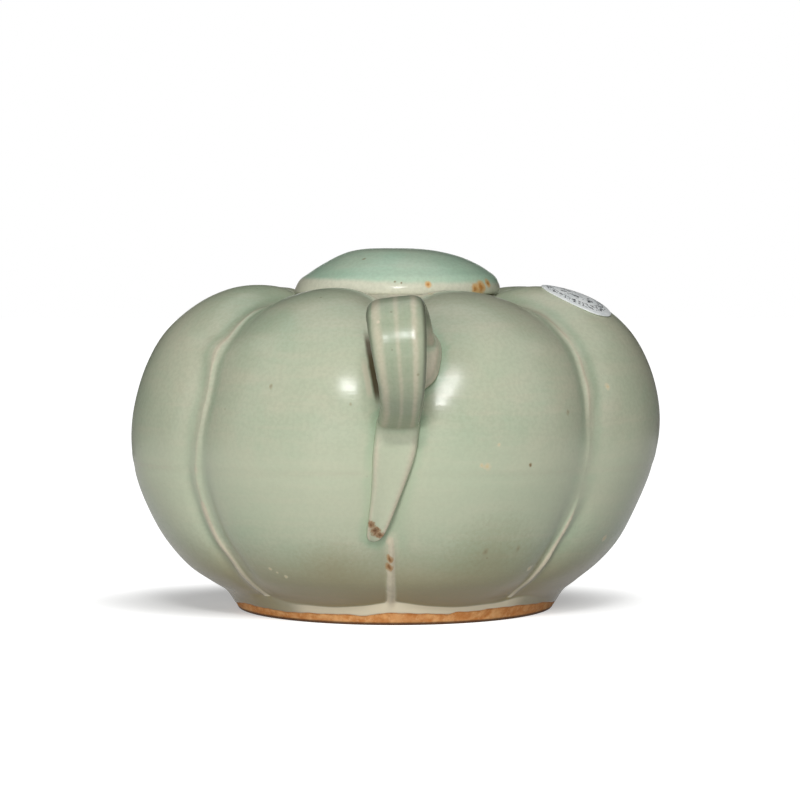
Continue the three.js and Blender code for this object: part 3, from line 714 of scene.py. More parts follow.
# From the pad's middle to its edge and back under it: share of its size, and height over the lobes in mm
PAD_PROFILE = [
    (0, 2.5), (.12, 2.5), (.25, 2.5), (.38, 2.45), (.5, 2.4), (.6, 2.32), (.7, 2.2), (.78, 2.05),
    (.85, 1.85), (.9, 1.62), (.94, 1.35), (.97, 1.05), (1, .7), (1.03, .35), (1.07, .05), (1.12, -.3),
    (1.12, -2.4), (0, -2.4),
]
pad_sizes, pad_lifts = np.array(PAD_PROFILE).T[:, :, None]
pad_turns = np.linspace(0, 2 * math.pi, 73)[None, :]
pad_edge = 1 + 0.035 * np.sin(3 * pad_turns + 0.6) + 0.02 * np.sin(7 * pad_turns)
pad_side = PAD_SIDESTEP + pad_sizes * pad_edge * PAD_HALF_WIDTH * np.cos(pad_turns)
pad_up = pad_sizes * pad_edge * PAD_HALF_HEIGHT * np.sin(pad_turns)
pad_points = skin(
    HANDLE_AZIMUTH + pad_side / GROOVE_RADIUS, place_at_height(PAD_CENTRE_HEIGHT + pad_up),
    outside=pad_lifts + 0 * pad_turns, grooves=PAD_GROOVE_SHARE)
pad = wrapped("handle_pad", pad_points)
keep_within_wall(pad)

TAIL_TOP_HEIGHT = 61.5
TAIL_LENGTH = 34.2
TAIL_HALF_WIDTH = 6.1
TAIL_THICKNESS = 2.2
TAIL_LEAN = 5.2
HALF_LOBE_WIDTH = 29.8
TAIL_WIDTHS = [1, 1, .99, .94, .83, .73, .635, .56, .47, .34]
TAIL_LIFTS = [.5, .85, .95, 1, 1, 1, 1.05, 1.15, 1.2, 1]
TAIL_OUTLINE = [
    (.8, -1), (1.02, 0), (1, .45), (.92, .82), (.8, .97), (.62, .95), (.3, .84), (0, .81),
    (-.3, .84), (-.62, .95), (-.8, .97), (-.92, .82), (-1, .45), (-1.02, 0), (-.8, -1),
]
tail_shares = np.linspace(0, 1, 72)
tail_place = place_at_height(TAIL_TOP_HEIGHT - tail_shares * TAIL_LENGTH)
tail_middle = skin(np.full(72, HANDLE_AZIMUTH), tail_place)
tail_out = skin(np.full(72, HANDLE_AZIMUTH), tail_place, outside=5) - tail_middle
tail_out /= np.linalg.norm(tail_out, axis=1)[:, None]
tail_half = TAIL_HALF_WIDTH * softened(evenly(TAIL_WIDTHS, tail_shares), 10)
tail_half *= np.sqrt(1 - np.clip((tail_shares - 0.925) / 0.077, 0, 1) ** 2)
tail_lift = TAIL_THICKNESS * softened(evenly(TAIL_LIFTS, tail_shares), 10)
tail_fill = GROOVE_DEPTH * (1 - (1 - tail_half / HALF_LOBE_WIDTH) ** GROOVE_SHARPNESS)
tail_side = TAIL_LEAN * tail_shares ** 1.8 - 0.4 * (1 - tail_shares)
outline = curve([(wide, high, 0) for wide, high in TAIL_OUTLINE], np.linspace(0, 1, 61))
tail_wide = outline[None, :, 0] * tail_half[:, None] - tail_side[:, None]
tail_high = outline[None, :, 1] * tail_lift[:, None] + (outline[None, :, 1] > 0) * tail_fill[:, None]
tail_points = swept(tail_middle, tail_out, tail_wide, tail_high)
tail = wrapped("handle_tail_end", closed(np.concatenate([tail_points, tail_points[:, :1]], axis=1)))
keep_within_wall(tail)

fresh_selection()
for part in (pad, tail, strap):
    part.select_set(True)
bpy.context.view_layer.objects.active = strap
bpy.ops.object.join()
handle = strap
handle.name = handle.data.name = "looped_handle"
VOXEL_SIZE = 0.42
apply_modifier(handle, "REMESH", mode="VOXEL", voxel_size=VOXEL_SIZE * MM)
apply_modifier(handle, "SMOOTH", factor=0.5, iterations=5)

# The strap's lower end melts into the tail
STRAP_END_HEIGHT = 59.5
melted = handle.vertex_groups.new(name="melted")
for index, (_, depth, height) in enumerate(points_of(handle)):
    weight = bump(height - STRAP_END_HEIGHT, 5, 4) * smoothstep(-depth, 66, 70)
    if weight > 0.02:
        melted.add([index], float(weight), "REPLACE")
apply_modifier(handle, "SMOOTH", factor=0.8, iterations=45, vertex_group=melted.name)
fresh_selection()
handle.select_set(True)
bpy.ops.object.shade_smooth()


def edge_pairs(piece):
    """The two vertices of each edge."""
    pairs = np.empty(len(piece.data.edges) * 2, dtype=int)
    piece.data.edges.foreach_get("vertices", pairs)
    return pairs.reshape(-1, 2)


def swelling(piece, passes):
    """How far each point stands over the surface smoothed round it, in mm: ridges above 0, hollows below."""
    points = points_of(piece)
    pairs = edge_pairs(piece)
    count = np.bincount(pairs.ravel(), minlength=len(points))[:, None]
    smooth = points.copy()
    for _ in range(passes):
        total = np.zeros_like(smooth)
        for k in range(3):
            total[:, k] = np.bincount(pairs[:, 0], smooth[pairs[:, 1], k], len(points)) \
                + np.bincount(pairs[:, 1], smooth[pairs[:, 0], k], len(points))
        smooth = 0.5 * smooth + 0.5 * total / count
    normals = np.empty(len(points) * 3)
    piece.data.vertices.foreach_get("normal", normals)
    return ((points - smooth) * normals.reshape(-1, 3)).sum(axis=1)


# Film on the handle: thin on the strap's three ribs, pooled between them and where it joins the body
handle_points = points_of(handle)
body_gap = distances(body_finder, handle_points, 12)
beside_path = (handle_points[:, None, 1:] - strap_middle[None, :, 1:]) ** 2
nearest = np.argmin(beside_path.sum(axis=2), axis=1)
across = (handle_points[:, 0] - strap_middle[nearest, 0]) / strap_half[nearest]
outward = ((handle_points - strap_middle[nearest]) * strap_out[nearest]).sum(axis=1)
on_strap = smoothstep(body_gap, 2.6, 5) * smoothstep(nearest, 14, 32)
ribbing = bump(across + 0.7, 0.23) + 0.8 * bump(across + 0.02, 0.13) + bump(across - 0.58, 0.17)
ribbing = ribbing - 0.6 * bump(np.abs(across) - 0.32, 0.14)
ribbing = np.where(outward > 0.5, ribbing, -0.2)
# Painted shade along the strap's rounded edges, which turn away from the light: stronger on the right
strap_edge_shade = np.where(across > 0, smoothstep(across, 0.8, 0.96), 0.8 * smoothstep(-across, 0.87, 1))
swell = swelling(handle, 30)
off_strap = 0.7 * bump(np.maximum(body_gap, 0), 0.9) - swell * 2.4 - 0.05
# Painted light: the pad's upper part made paler where the strap shades it
off_strap -= 0.3 * smoothstep(handle_points[:, 2], 66, 70)
set_attribute(handle, "film", np.clip(on_strap * -0.7 * ribbing + (1 - on_strap) * off_strap, -1, 1))
set_attribute(handle, "strap_share", on_strap)
set_attribute(handle, "strap_edge_shade", on_strap * strap_edge_shade)

# Glaze lies thick where the handle and the spout meet the body
handle_finder = finder(handle)
spout_finder = finder(spout)
body_now = points_of(body)
film = attribute(body, "film")
near = (np.abs(body_now[:, 0]) < 24) & (np.abs(body_now[:, 1]) > 50)
index = np.flatnonzero(near)
for tree in (handle_finder, spout_finder):
    away = distances(tree, body_now[index], 8)
    film[index] = np.clip(film[index] + 0.8 * bump(np.maximum(away, 0), 2), -1, 1)
set_attribute(body, "film", film)


# Foot, collar, flange and cover

def on_curve(points, count):
    """Points, evenly spaced by share, of a smooth curve through (radius, height) pairs."""
    return [tuple(p[:2]) for p in curve([(a, b, 0) for a, b in points], np.linspace(0, 1, count))]


foot_outline = on_curve([
    (38.6, 6.2), (39.4, 4.6), (40, 1.4), (40.3, .4), (41, 0.02), (44, 0), (46.9, 0), (47.7, .25), (48.1, .9),
    (49.3, 2.9), (50.2, 4.7), (50.2, 5.2), (49.8, 5.7), (48.8, 6), (47, 6.2)], 60) + [(44, 6.2), (40, 6.2)]
foot = turned("foot_band", foot_outline, 256)
points = points_of(foot)
azimuth = np.arctan2(points[:, 1], points[:, 0])
shrink = 0.0016 * np.sin(3 * azimuth + 1) * smoothstep(points[:, 2], 0, 2)
shrink = 1 + shrink * (1 - smoothstep(points[:, 2], 2, 3))
points[:, 0] *= shrink
points[:, 1] *= shrink
ragged = 0.05 * np.sin(23 * azimuth) + 0.05 * np.sin(41 * azimuth + 1)
points[:, 2] += ragged * smoothstep(points[:, 2], 0.1, 1.2) * (1 - smoothstep(points[:, 2], 2, 4))
points[:, 2] = np.maximum(points[:, 2], 0)
set_points(foot, points)
set_attribute(foot, "clay_top", clay_top(azimuth))

collar = turned("collar_ring", on_curve([
    (24.6, 86), (27, 86), (29.8, 86.1), (30.3, 86.6), (30.3, 90), (30.3, 93.6), (30.28, 94.5), (29.9, 94.8),
    (27, 94.8), (24.9, 94.7), (24.2, 94.3), (24, 93.4), (24, 90), (24, 86.8), (24.2, 86.2)], 64))

flange = turned("cover_flange_ring", on_curve([
    (18.5, 95.2), (18.5, 91), (18.6, 88.6), (19, 88), (19.8, 87.9), (20.6, 88), (21, 88.5), (21.3, 90.5),
    (21.75, 93.5), (22.0, 95.2)], 40))

# Outline of the cover from under its edge to its top, as shares of its radius and height
COVER_EDGE = [
    (.95, 0), (.975, .002), (.99, .014), (.998, .045), (1, .09), (.997, .14), (.989, .2), (.977, .26),
    (.962, .325), (.938, .39), (.89, .468), (.785, .62), (.62, .8), (.5, .893), (.442, .926), (.367, .957),
    (.277, .98), (.13, .997), (0, 1),
]
COVER_INSIDE = [(12, 103.1), (15.6, 101.6), (17.9, 98.6), (18.5, 95.6), (19.2, 94.95), (22, 94.9), (26, 94.9)]
cover_outside = [(wide * COVER_RADIUS, COVER_SEAT + high * COVER_HEIGHT) for wide, high in COVER_EDGE]
cover_outline = [(0, 103.3), (6, 103.3)] + on_curve(COVER_INSIDE, 22) + on_curve(cover_outside, 72)
cover = turned("domed_cover", cover_outline, 224)
points = points_of(cover)
azimuth = np.arctan2(points[:, 1], points[:, 0])
share = (points[:, 2] - COVER_SEAT) / COVER_HEIGHT
reach = np.hypot(points[:, 0], points[:, 1])
right = np.cos(azimuth)

# The cover is a little uneven: fuller on the right, its top tilted, and off centre in its seat
side_bulge = bump(share - 0.5, 0.3) * smoothstep(reach, 12, 22)
points[:, 2] += side_bulge * np.where(right < 0, 0.65, 0.3) * right
points[:, 2] -= 0.25 * bump(share - 0.93, 0.1) * np.cos(azimuth - 0.6) * smoothstep(reach, 2, 10)
points[:, 0] += 0.5 + 0.35 * smoothstep(share, 0.02, 0.2)
points[:, 2] = np.minimum(points[:, 2], COVER_SEAT + COVER_HEIGHT)
set_points(cover, points)

# The glaze has run off the cover's rim and gathered just above it
edge_wave = 0.22 * np.sin(2 * azimuth + 1) + 0.15 * np.sin(5 * azimuth) - 0.026 * points[:, 0]
height = points[:, 2] - COVER_SEAT
rim_film = (smoothstep(height, 2.6 + edge_wave, 5.9 + edge_wave) - 1) * smoothstep(reach, 26, 28)
pooled_film = 0.35 * bump(height - 6.6, 1.6) * smoothstep(reach, 20, 24)
set_attribute(cover, "film", np.clip(rim_film + pooled_film, -1, 1))


# Paper label

LABEL_AZIMUTH = math.radians(-24.5)
LABEL_OFFSET = 1.1
LABEL_HALF_LENGTH = 10.25
LABEL_HALF_WIDTH = 8.5
LABEL_LIFT = 0.72
label_radius = SHOULDER_RADIUS + LABEL_OFFSET
label_turns = np.linspace(0, 2 * math.pi, 97)[None, :]
label_sizes = np.concatenate([np.linspace(0, 0.9, 10), [0.94, 0.97, 0.99, 1, 1, 0.99, 0.6, 0]])[:, None]
lifts = np.concatenate([np.full(13, LABEL_LIFT), [0.66, 0.5, 0.3, 0.24, 0.24]])[:, None]
label_edge = 1 + 0.006 * np.sin(3 * label_turns + 1) + 0.004 * np.sin(8 * label_turns)
along_label = label_sizes * label_edge * np.cos(label_turns)
round_label = label_sizes * label_edge * np.sin(label_turns)
curl = 0.5 * np.clip(-along_label - 0.55, 0, 1) ** 1.5 + 0.35 * np.clip(round_label - 0.7, 0, 1) ** 1.5
label_azimuth = LABEL_AZIMUTH + round_label * LABEL_HALF_WIDTH / label_radius
label_place = place_at_radius(label_radius + along_label * LABEL_HALF_LENGTH)
label_points = skin(label_azimuth, label_place, outside=lifts + curl - 0.16,
                    raised=unevenness(label_azimuth, label_place))
label = wrapped("label_sticker", label_points, label_u=along_label, label_v=round_label)


# Materials

def set_inputs(tree, node, values):
    """Gives sockets of a node a value or a link each."""
    for socket, value in values.items():
        if isinstance(value, bpy.types.NodeSocket):
            tree.links.new(value, node.inputs[socket])
        else:
            node.inputs[socket].default_value = value


def put(tree, kind, inputs=None, **settings):
    """Adds a node and sets it up."""
    node = tree.nodes.new(kind)
    for key, value in settings.items():
        setattr(node, key, value)
    set_inputs(tree, node, inputs or {})
    return node


def calc(tree, operation, first, second=0.0):
    return put(tree, "ShaderNodeMath", {0: first, 1: second}, operation=operation).outputs[0]


def times(tree, product, *values):
    """The values' product."""
    for value in values:
        product = calc(tree, "MULTIPLY", product, value)
    return product


def between(tree, value, low, high, to_low=0.0, to_high=1.0):
    """Runs smoothly from to_low to to_high while the value runs from low to high."""
    node = put(tree, "ShaderNodeMapRange", {
        "Value": value, "From Min": low, "From Max": high, "To Min": to_low, "To Max": to_high},
        interpolation_type="SMOOTHSTEP")
    return node.outputs[0]


def mixed(tree, share, first, second):
    """A colour between two colours, by a share from 0 to 1."""
    return put(tree, "ShaderNodeMix", {0: share, 6: first, 7: second}, data_type="RGBA").outputs[2]


def stretched(tree, place, factors):
    return put(tree, "ShaderNodeVectorMath", {0: place, 1: factors}, operation="MULTIPLY").outputs[0]


def noise(tree, place, scale, detail, rough=0.5, warp=0.0):
    texture = put(tree, "ShaderNodeTexNoise", {
        "Vector": place, "Scale": scale, "Detail": detail, "Roughness": rough, "Distortion": warp})
    return texture.outputs["Fac"]


def colour(red, green, blue):
    """A colour given as it looks on screen, 0 to 255, as the shader's own numbers."""
    return tuple((c / 255 / 12.92 if c / 255 <= 0.04045 else ((c / 255 + 0.055) / 1.055) ** 2.4)
                 for c in (red, green, blue)) + (1.0,)


def new_group(name, inputs, outputs):
    tree = bpy.data.node_groups.new(name, "ShaderNodeTree")
    for title, kind, start in inputs:
        socket = tree.interface.new_socket(title, in_out="INPUT", socket_type=kind)
        socket.default_value = start
    for title, kind in outputs:
        tree.interface.new_socket(title, in_out="OUTPUT", socket_type=kind)
    return tree, tree.nodes.new("NodeGroupInput").outputs, tree.nodes.new("NodeGroupOutput").inputs


NUMBER, COLOUR, VECTOR = "NodeSocketFloat", "NodeSocketColor", "NodeSocketVector"


def glaze_film_group():
    """Celadon whose tone follows its film, from thin (-1) to pooled (1), with clouds, specks and pits."""
    tree, given, result = new_group(
        "Celadon film",
        [("Place", VECTOR, (0, 0, 0)), ("Film", NUMBER, 0.0), ("Glaze", COLOUR, (1, 1, 1, 1)),
         ("Thin", COLOUR, (1, 1, 1, 1)), ("Pooled", COLOUR, (1, 1, 1, 1)), ("Cloud", NUMBER, 0.5)],
        [("Colour", COLOUR), ("Height", NUMBER), ("Roughness", NUMBER)])
    place = given["Place"]
    cloud = between(tree, noise(tree, place, 20, 3, 0.5), 0.36, 0.64)
    patch = between(tree, noise(tree, place, 46, 4, 0.6, 0.6), 0.34, 0.7)
    streaks = noise(tree, stretched(tree, place, (1, 1, 11)), 38, 3, 0.6)
    clouded = mixed(tree, times(tree, cloud, given["Cloud"]), given["Glaze"], given["Pooled"])
    clouded = mixed(tree, times(tree, given["Cloud"], 0.55, patch), clouded, given["Thin"])
    lined = times(tree, given["Cloud"], 0.35, between(tree, streaks, 0.45, 0.72))
    clouded = mixed(tree, lined, clouded, given["Thin"])
    uneven = times(tree, calc(tree, "SUBTRACT", noise(tree, place, 240, 3, 0.6), 0.5), 0.4)
    ragged = calc(tree, "ADD", given["Film"], uneven)
    thin = between(tree, ragged, -0.08, -0.95)
    pooled = between(tree, ragged, 0.05, 1.0)
    shade = mixed(tree, pooled, clouded, given["Pooled"])
    shade = mixed(tree, thin, shade, given["Thin"])
    flecks = put(tree, "ShaderNodeTexVoronoi", {"Vector": place, "Scale": 150.0}, feature="F1")
    chance = put(tree, "ShaderNodeSeparateColor", {0: flecks.outputs["Color"]}).outputs[0]
    fleck = between(tree, flecks.outputs["Distance"], 0.075, 0.03)
    speck = times(tree, fleck, between(tree, chance, 0.8, 0.84))
    shade = mixed(tree, times(tree, speck, 0.4), shade, colour(116, 110, 84))
    grain = noise(tree, place, 900, 2, 0.6)
    toned = mixed(tree, between(tree, grain, 0.38, 0.64, 0.0, 0.1), shade, colour(120, 124, 98))
    pits = put(tree, "ShaderNodeTexVoronoi", {"Vector": place, "Scale": 520.0}, feature="F1")
    pit_chance = put(tree, "ShaderNodeSeparateColor", {0: pits.outputs["Color"]}).outputs[1]
    pit = between(tree, pits.outputs["Distance"], 0.22, 0.05)
    pit = times(tree, pit, between(tree, pit_chance, 0.8, 0.95))
    swells = calc(tree, "ADD", times(tree, noise(tree, place, 160, 2, 0.5), 0.5), times(tree, streaks, 0.5))
    height = calc(tree, "SUBTRACT", swells, times(tree, pit, 0.3))
    tree.links.new(toned, result["Colour"])
    tree.links.new(height, result["Height"])
    tree.links.new(between(tree, noise(tree, place, 70, 2), 0.3, 0.7, 0.2, 0.26), result["Roughness"])
    return tree


def marks_group():
    """Marks in the glaze: spots of a size round three places, broken up by noise."""
    tree, given, result = new_group(
        "Glaze marks",
        [("Place", VECTOR, (0, 0, 0)), ("Spot 1", VECTOR, (0, 0, 9)), ("Size 1", NUMBER, 0.001),
         ("Spot 2", VECTOR, (0, 0, 9)), ("Size 2", NUMBER, 0.001),
         ("Spot 3", VECTOR, (0, 0, 9)), ("Size 3", NUMBER, 0.001), ("Broken", NUMBER, 1.7)],
        [("Mask", NUMBER), ("Core", NUMBER)])
    grain = calc(tree, "SUBTRACT", noise(tree, given["Place"], 800, 4, 0.7), 0.5)
    broken = times(tree, grain, given["Broken"])
    mask = core = 0.0
    for number in "123":
        away = put(tree, "ShaderNodeVectorMath", {0: given["Place"], 1: given["Spot " + number]},
                   operation="DISTANCE").outputs["Value"]
        away = calc(tree, "ADD", calc(tree, "DIVIDE", away, given["Size " + number]), broken)
        mask = calc(tree, "MAXIMUM", mask, between(tree, away, 1.1, 0.5))
        core = calc(tree, "MAXIMUM", core, between(tree, away, 0.6, 0.1))
    tree.links.new(mask, result["Mask"])
    tree.links.new(core, result["Core"])
    return tree


FILM_GROUP = glaze_film_group()
MARKS_GROUP = marks_group()
# Plain, thin and pooled tone of the glaze
BODY_TONES = (colour(184, 191, 166), colour(203, 194, 172), colour(160, 180, 152))
STRAP_TONES = (colour(162, 170, 145), colour(198, 191, 167), colour(146, 164, 137))
COVER_TONES = (colour(178, 205, 181), colour(211, 211, 190), colour(164, 198, 172))
# Browner glaze low on the body, darkened further as painted shade
LOW_GLAZE_AND_SHADE = colour(147, 135, 100)
# Painted light: a paler band under the waist that brightens the middle of the body
WAIST_PAINTED_LIGHT = colour(202, 207, 181)
# Dark band just above the foot: painted shade under the overhanging lobes, with some browner glaze
DEEP_GLAZE_AND_SHADE = colour(144, 131, 96)
RUST = (colour(176, 138, 94), colour(134, 92, 50))
STAIN = (colour(150, 142, 108), colour(146, 136, 102))
TAIL_RUST = (colour(152, 108, 66), colour(94, 58, 32))
COVER_RUST = (colour(216, 168, 100), colour(178, 112, 44))
BROWN = (colour(142, 122, 88), colour(112, 88, 54))
PALE = (colour(206, 198, 168), colour(208, 192, 148))
CREAM = (colour(200, 192, 168), colour(208, 198, 176))
# Painted shade: the strap's shadow in the gap beside its left edge
PAINTED_CREVICE_SHADE = colour(84, 76, 55)
# Painted shade for the strap's edges
PAINTED_STRAP_EDGE_SHADE = colour(112, 116, 96)
# Pale thin glaze over the foot's clay, made paler still as painted light where it faces down
PALE_FOOT_GLAZE_AND_LIGHT = colour(226, 217, 192)
# Side of the painted shade along the strap's left edge at the height of the table, in mm, and how much it
# moves left for each mm up
STRAP_SHADE_SIDE, STRAP_SHADE_SLANT = 6.5, 0.18


def new_material(name):
    material = bpy.data.materials.new(name)
    material.use_nodes = True
    tree = material.node_tree
    shader = tree.nodes["Principled BSDF"]
    place = put(tree, "ShaderNodeTexCoord").outputs["Object"]
    return material, tree, shader, place


def read_attribute(tree, title):
    return put(tree, "ShaderNodeAttribute", attribute_name=title, attribute_type="GEOMETRY").outputs["Fac"]


def marked(tree, place, shade, spots, tints, drawn_out=1, broken=1.7, strength=0.8):
    """Lays marks over a colour. Spots are pairs of a place and a size in mm, and tints colour a mark's edge
    and its heart. Marks are drawn_out times as high as wide, and broken is how rough their edges are."""
    if drawn_out != 1:
        place = stretched(tree, place, (1, 1, 1 / drawn_out))
        spots = [((spot[0], spot[1], spot[2] / drawn_out), size) for spot, size in spots]
    for start in range(0, len(spots), 3):
        values = {"Place": place, "Broken": broken}
        for number, (spot, size) in enumerate(spots[start:start + 3], 1):
            values[f"Spot {number}"] = tuple(c * MM for c in spot)
            values[f"Size {number}"] = size * MM
        marks = put(tree, "ShaderNodeGroup", values, node_tree=MARKS_GROUP)
        for part, tint in zip(("Mask", "Core"), tints):
            shade = mixed(tree, times(tree, marks.outputs[part], strength), shade, tint)
    return shade


def with_painted_strap_shade(tree, place, shade):
    """Adds painted shade along the strap's left edge, where the strap shadows the body in the gap behind it,
    and the smear of slip beside it.
    """
    x, y, z = put(tree, "ShaderNodeSeparateXYZ", {0: place}).outputs
    wander = times(tree, calc(tree, "SUBTRACT", noise(tree, place, 300, 2, 0.6), 0.5), 0.5 * MM)
    line = calc(tree, "SUBTRACT", STRAP_SHADE_SIDE * MM, times(tree, z, STRAP_SHADE_SLANT))
    past = calc(tree, "ADD", calc(tree, "SUBTRACT", x, line), wander)
    front = between(tree, y, -50 * MM, -55 * MM)
    # Painted shadow: dark where the strap shades the body beside its left edge
    dark = times(
        tree, between(tree, past, -0.5 * MM, 0.5 * MM), between(tree, past, 5 * MM, 4 * MM),
        between(tree, z, 64 * MM, 69 * MM), between(tree, z, 86.5 * MM, 82 * MM), front)
    slip = times(
        tree, between(tree, past, -2.4 * MM, -1.5 * MM), between(tree, past, 0.0, -0.7 * MM),
        between(tree, z, 66 * MM, 69 * MM), between(tree, z, 79 * MM, 75 * MM), front)
    shade = mixed(tree, times(tree, slip, 0.55), shade, CREAM[1])
    return mixed(tree, dark, shade, PAINTED_CREVICE_SHADE)


def glaze_material(name, tones, cloud, marks=(), strap_tones=None, shade_beside_strap=False):
    """Celadon in its plain, thin and pooled tone; strap_tones are those that it has on the strap instead."""
    material, tree, shader, place = new_material(name)
    if strap_tones is not None:
        share = read_attribute(tree, "strap_share")
        tones = [mixed(tree, share, plain, other) for plain, other in zip(tones, strap_tones)]
    film = read_attribute(tree, "film")
    plain, thin, pooled = tones
    coat = put(tree, "ShaderNodeGroup", {
        "Place": place, "Film": film, "Glaze": plain, "Thin": thin, "Pooled": pooled, "Cloud": cloud},
        node_tree=FILM_GROUP)

    # Bands by their height in m: browner and darker towards the foot, partly the glaze's tone and partly
    # painted shade, a painted lighter band under the waist, and pale thin glaze above the clay, painted paler
    # still
    height = put(tree, "ShaderNodeSeparateXYZ", {0: place}).outputs[2]
    covered = between(tree, film, -0.9, -0.1, 0.1, 1.0)
    shade = coat.outputs["Colour"]
    for share, tint in (
        (times(tree, between(tree, height, 0.028, 0.006, 0.0, 0.95), covered), LOW_GLAZE_AND_SHADE),
        (times(tree, between(tree, height, 0.062, 0.046), between(tree, height, 0.022, 0.036), covered, 0.5),
         WAIST_PAINTED_LIGHT),
        (times(tree, between(tree, height, 0.013, 0.0065, 0.0, 0.45), covered), DEEP_GLAZE_AND_SHADE),
        (times(tree, between(tree, height, 0.0095, 0.006), between(tree, covered, 0.4, 0.1)), PALE_FOOT_GLAZE_AND_LIGHT),
    ):
        shade = mixed(tree, share, shade, tint)
    # Painted shadow of the strap on the body beside its left edge
    if shade_beside_strap:
        shade = with_painted_strap_shade(tree, place, shade)
    if strap_tones is not None:
        # Painted shade along the strap's edges
        shade = mixed(tree, times(tree, read_attribute(tree, "strap_edge_shade"), 0.75), shade, PAINTED_STRAP_EDGE_SHADE)
    for spots, tints, *manner in marks:
        shade = marked(tree, place, shade, spots, tints, *manner)
    relief = put(tree, "ShaderNodeBump", {
        "Height": coat.outputs["Height"], "Strength": 0.3, "Distance": 0.0004})
    set_inputs(tree, shader, {
        "Base Color": shade, "Roughness": coat.outputs["Roughness"], "Normal": relief.outputs["Normal"],
        "Specular IOR Level": 0.35})
    return material


def on_body(azimuth, run):
    """Place on the body, ribs and all, at an azimuth in degrees and a run up the wall in mm."""
    outside = skin(np.array([[math.radians(azimuth)]]), np.array([[place_at_run(run)]]), outside=3).ravel()
    return tuple(body_finder.find_nearest(Vector(outside))[0])


def from_front(tree, side, height):
    """Place on a piece's front, straight behind a point to the side and at a height, in mm."""
    return tuple(tree.ray_cast(Vector((side, -END_REACH * 2, height)), Vector((0, 1, 0)))[0])


# Marks of the glaze: each has a place and a size in mm
body_rust = [(from_front(body_finder, -1.4, 21.1), 1.2), (from_front(body_finder, -1.6, 18.8), 1.3)]
body_cream = [(from_front(body_finder, -1.5, level), 1) for level in (26.5, 17, 13.5, 10.5)]
body_stains = [(on_body(-66, 24), 16), (on_body(-104, 20), 12)]
body_brown = [(on_body(-61.6, 53.1), 0.75)]
body_faint = [(on_body(-52.5, 67.7), 0.8), (on_body(-116.7, 75.4), 0.7), (on_body(-68.1, 26.2), 1),
              (on_body(-59.2, 26.6), 0.9), (on_body(-99.1, 71), 0.5)]
body_pale = [(on_body(-71.2, 53.1), 1.3), (on_body(-72.5, 53.4), 0.8), (on_body(-69.2, 59.1), 0.7),
             (on_body(-39.5, 75.4), 1.2), (on_body(-29.5, 27.3), 1.5), (on_body(-49.6, 18.6), 1.4),
             (on_body(-121.6, 19), 0.8), (on_body(-120, 17.6), 0.6), (on_body(-118.1, 16.1), 0.8)]
body_glaze = glaze_material(
    "Celadon glaze", BODY_TONES, 0.58,
    marks=[(body_stains, STAIN, 1, 1.2, 0.22), (body_cream, CREAM, 2), (body_rust, RUST, 2.2, 0.9, 0.9),
           (body_brown, BROWN), (body_faint, BROWN, 1.6, 1.7, 0.28), (body_pale, PALE)],
    shade_beside_strap=True)
tail_rust = [(from_front(handle_finder, -6.6, 31.6), 1.5), (from_front(handle_finder, -5.4, 29.8), 1.9),
             (from_front(handle_finder, -4.2, 28.8), 1.5)]
strap_pale = [(from_front(handle_finder, -4.4, 88.7), 0.6)]
handle_glaze = glaze_material(
    "Handle glaze", BODY_TONES, 0.35, marks=[(tail_rust, TAIL_RUST), (strap_pale, CREAM)],
    strap_tones=STRAP_TONES)
cover_finder = finder(cover)
cover_rust = [(from_front(cover_finder, 9.7, 98.1), 1.3), (from_front(cover_finder, 25.6, 97.1), 2.8),
              (from_front(cover_finder, 27.7, 98.3), 1.8), (from_front(cover_finder, 23.8, 96.7), 2)]
cover_brown = [(from_front(cover_finder, 0, 98.9), 0.45), (from_front(cover_finder, 1.9, 98.5), 0.38),
               (from_front(cover_finder, -9.2, 105.5), 0.8)]
cover_glaze = glaze_material(
    "Cover glaze", COVER_TONES, 0.5,
    marks=[(cover_rust, COVER_RUST, 1, 0.8), (cover_brown, BROWN, 1, 1.7, 0.5)])


def thin_material(name, base):
    """Glaze so thin that the clay shows through in cream patches."""
    material, tree, shader, place = new_material(name)
    tone = noise(tree, place, 180, 4, 0.6)
    shade = mixed(tree, between(tree, tone, 0.3, 0.7), base, colour(214, 208, 192))
    relief = put(tree, "ShaderNodeBump", {"Height": tone, "Strength": 0.25, "Distance": 0.0003})
    set_inputs(tree, shader, {"Base Color": shade, "Roughness": 0.24, "Normal": relief.outputs["Normal"]})
    return material


collar_glaze = thin_material("Thin collar glaze", colour(198, 190, 170))


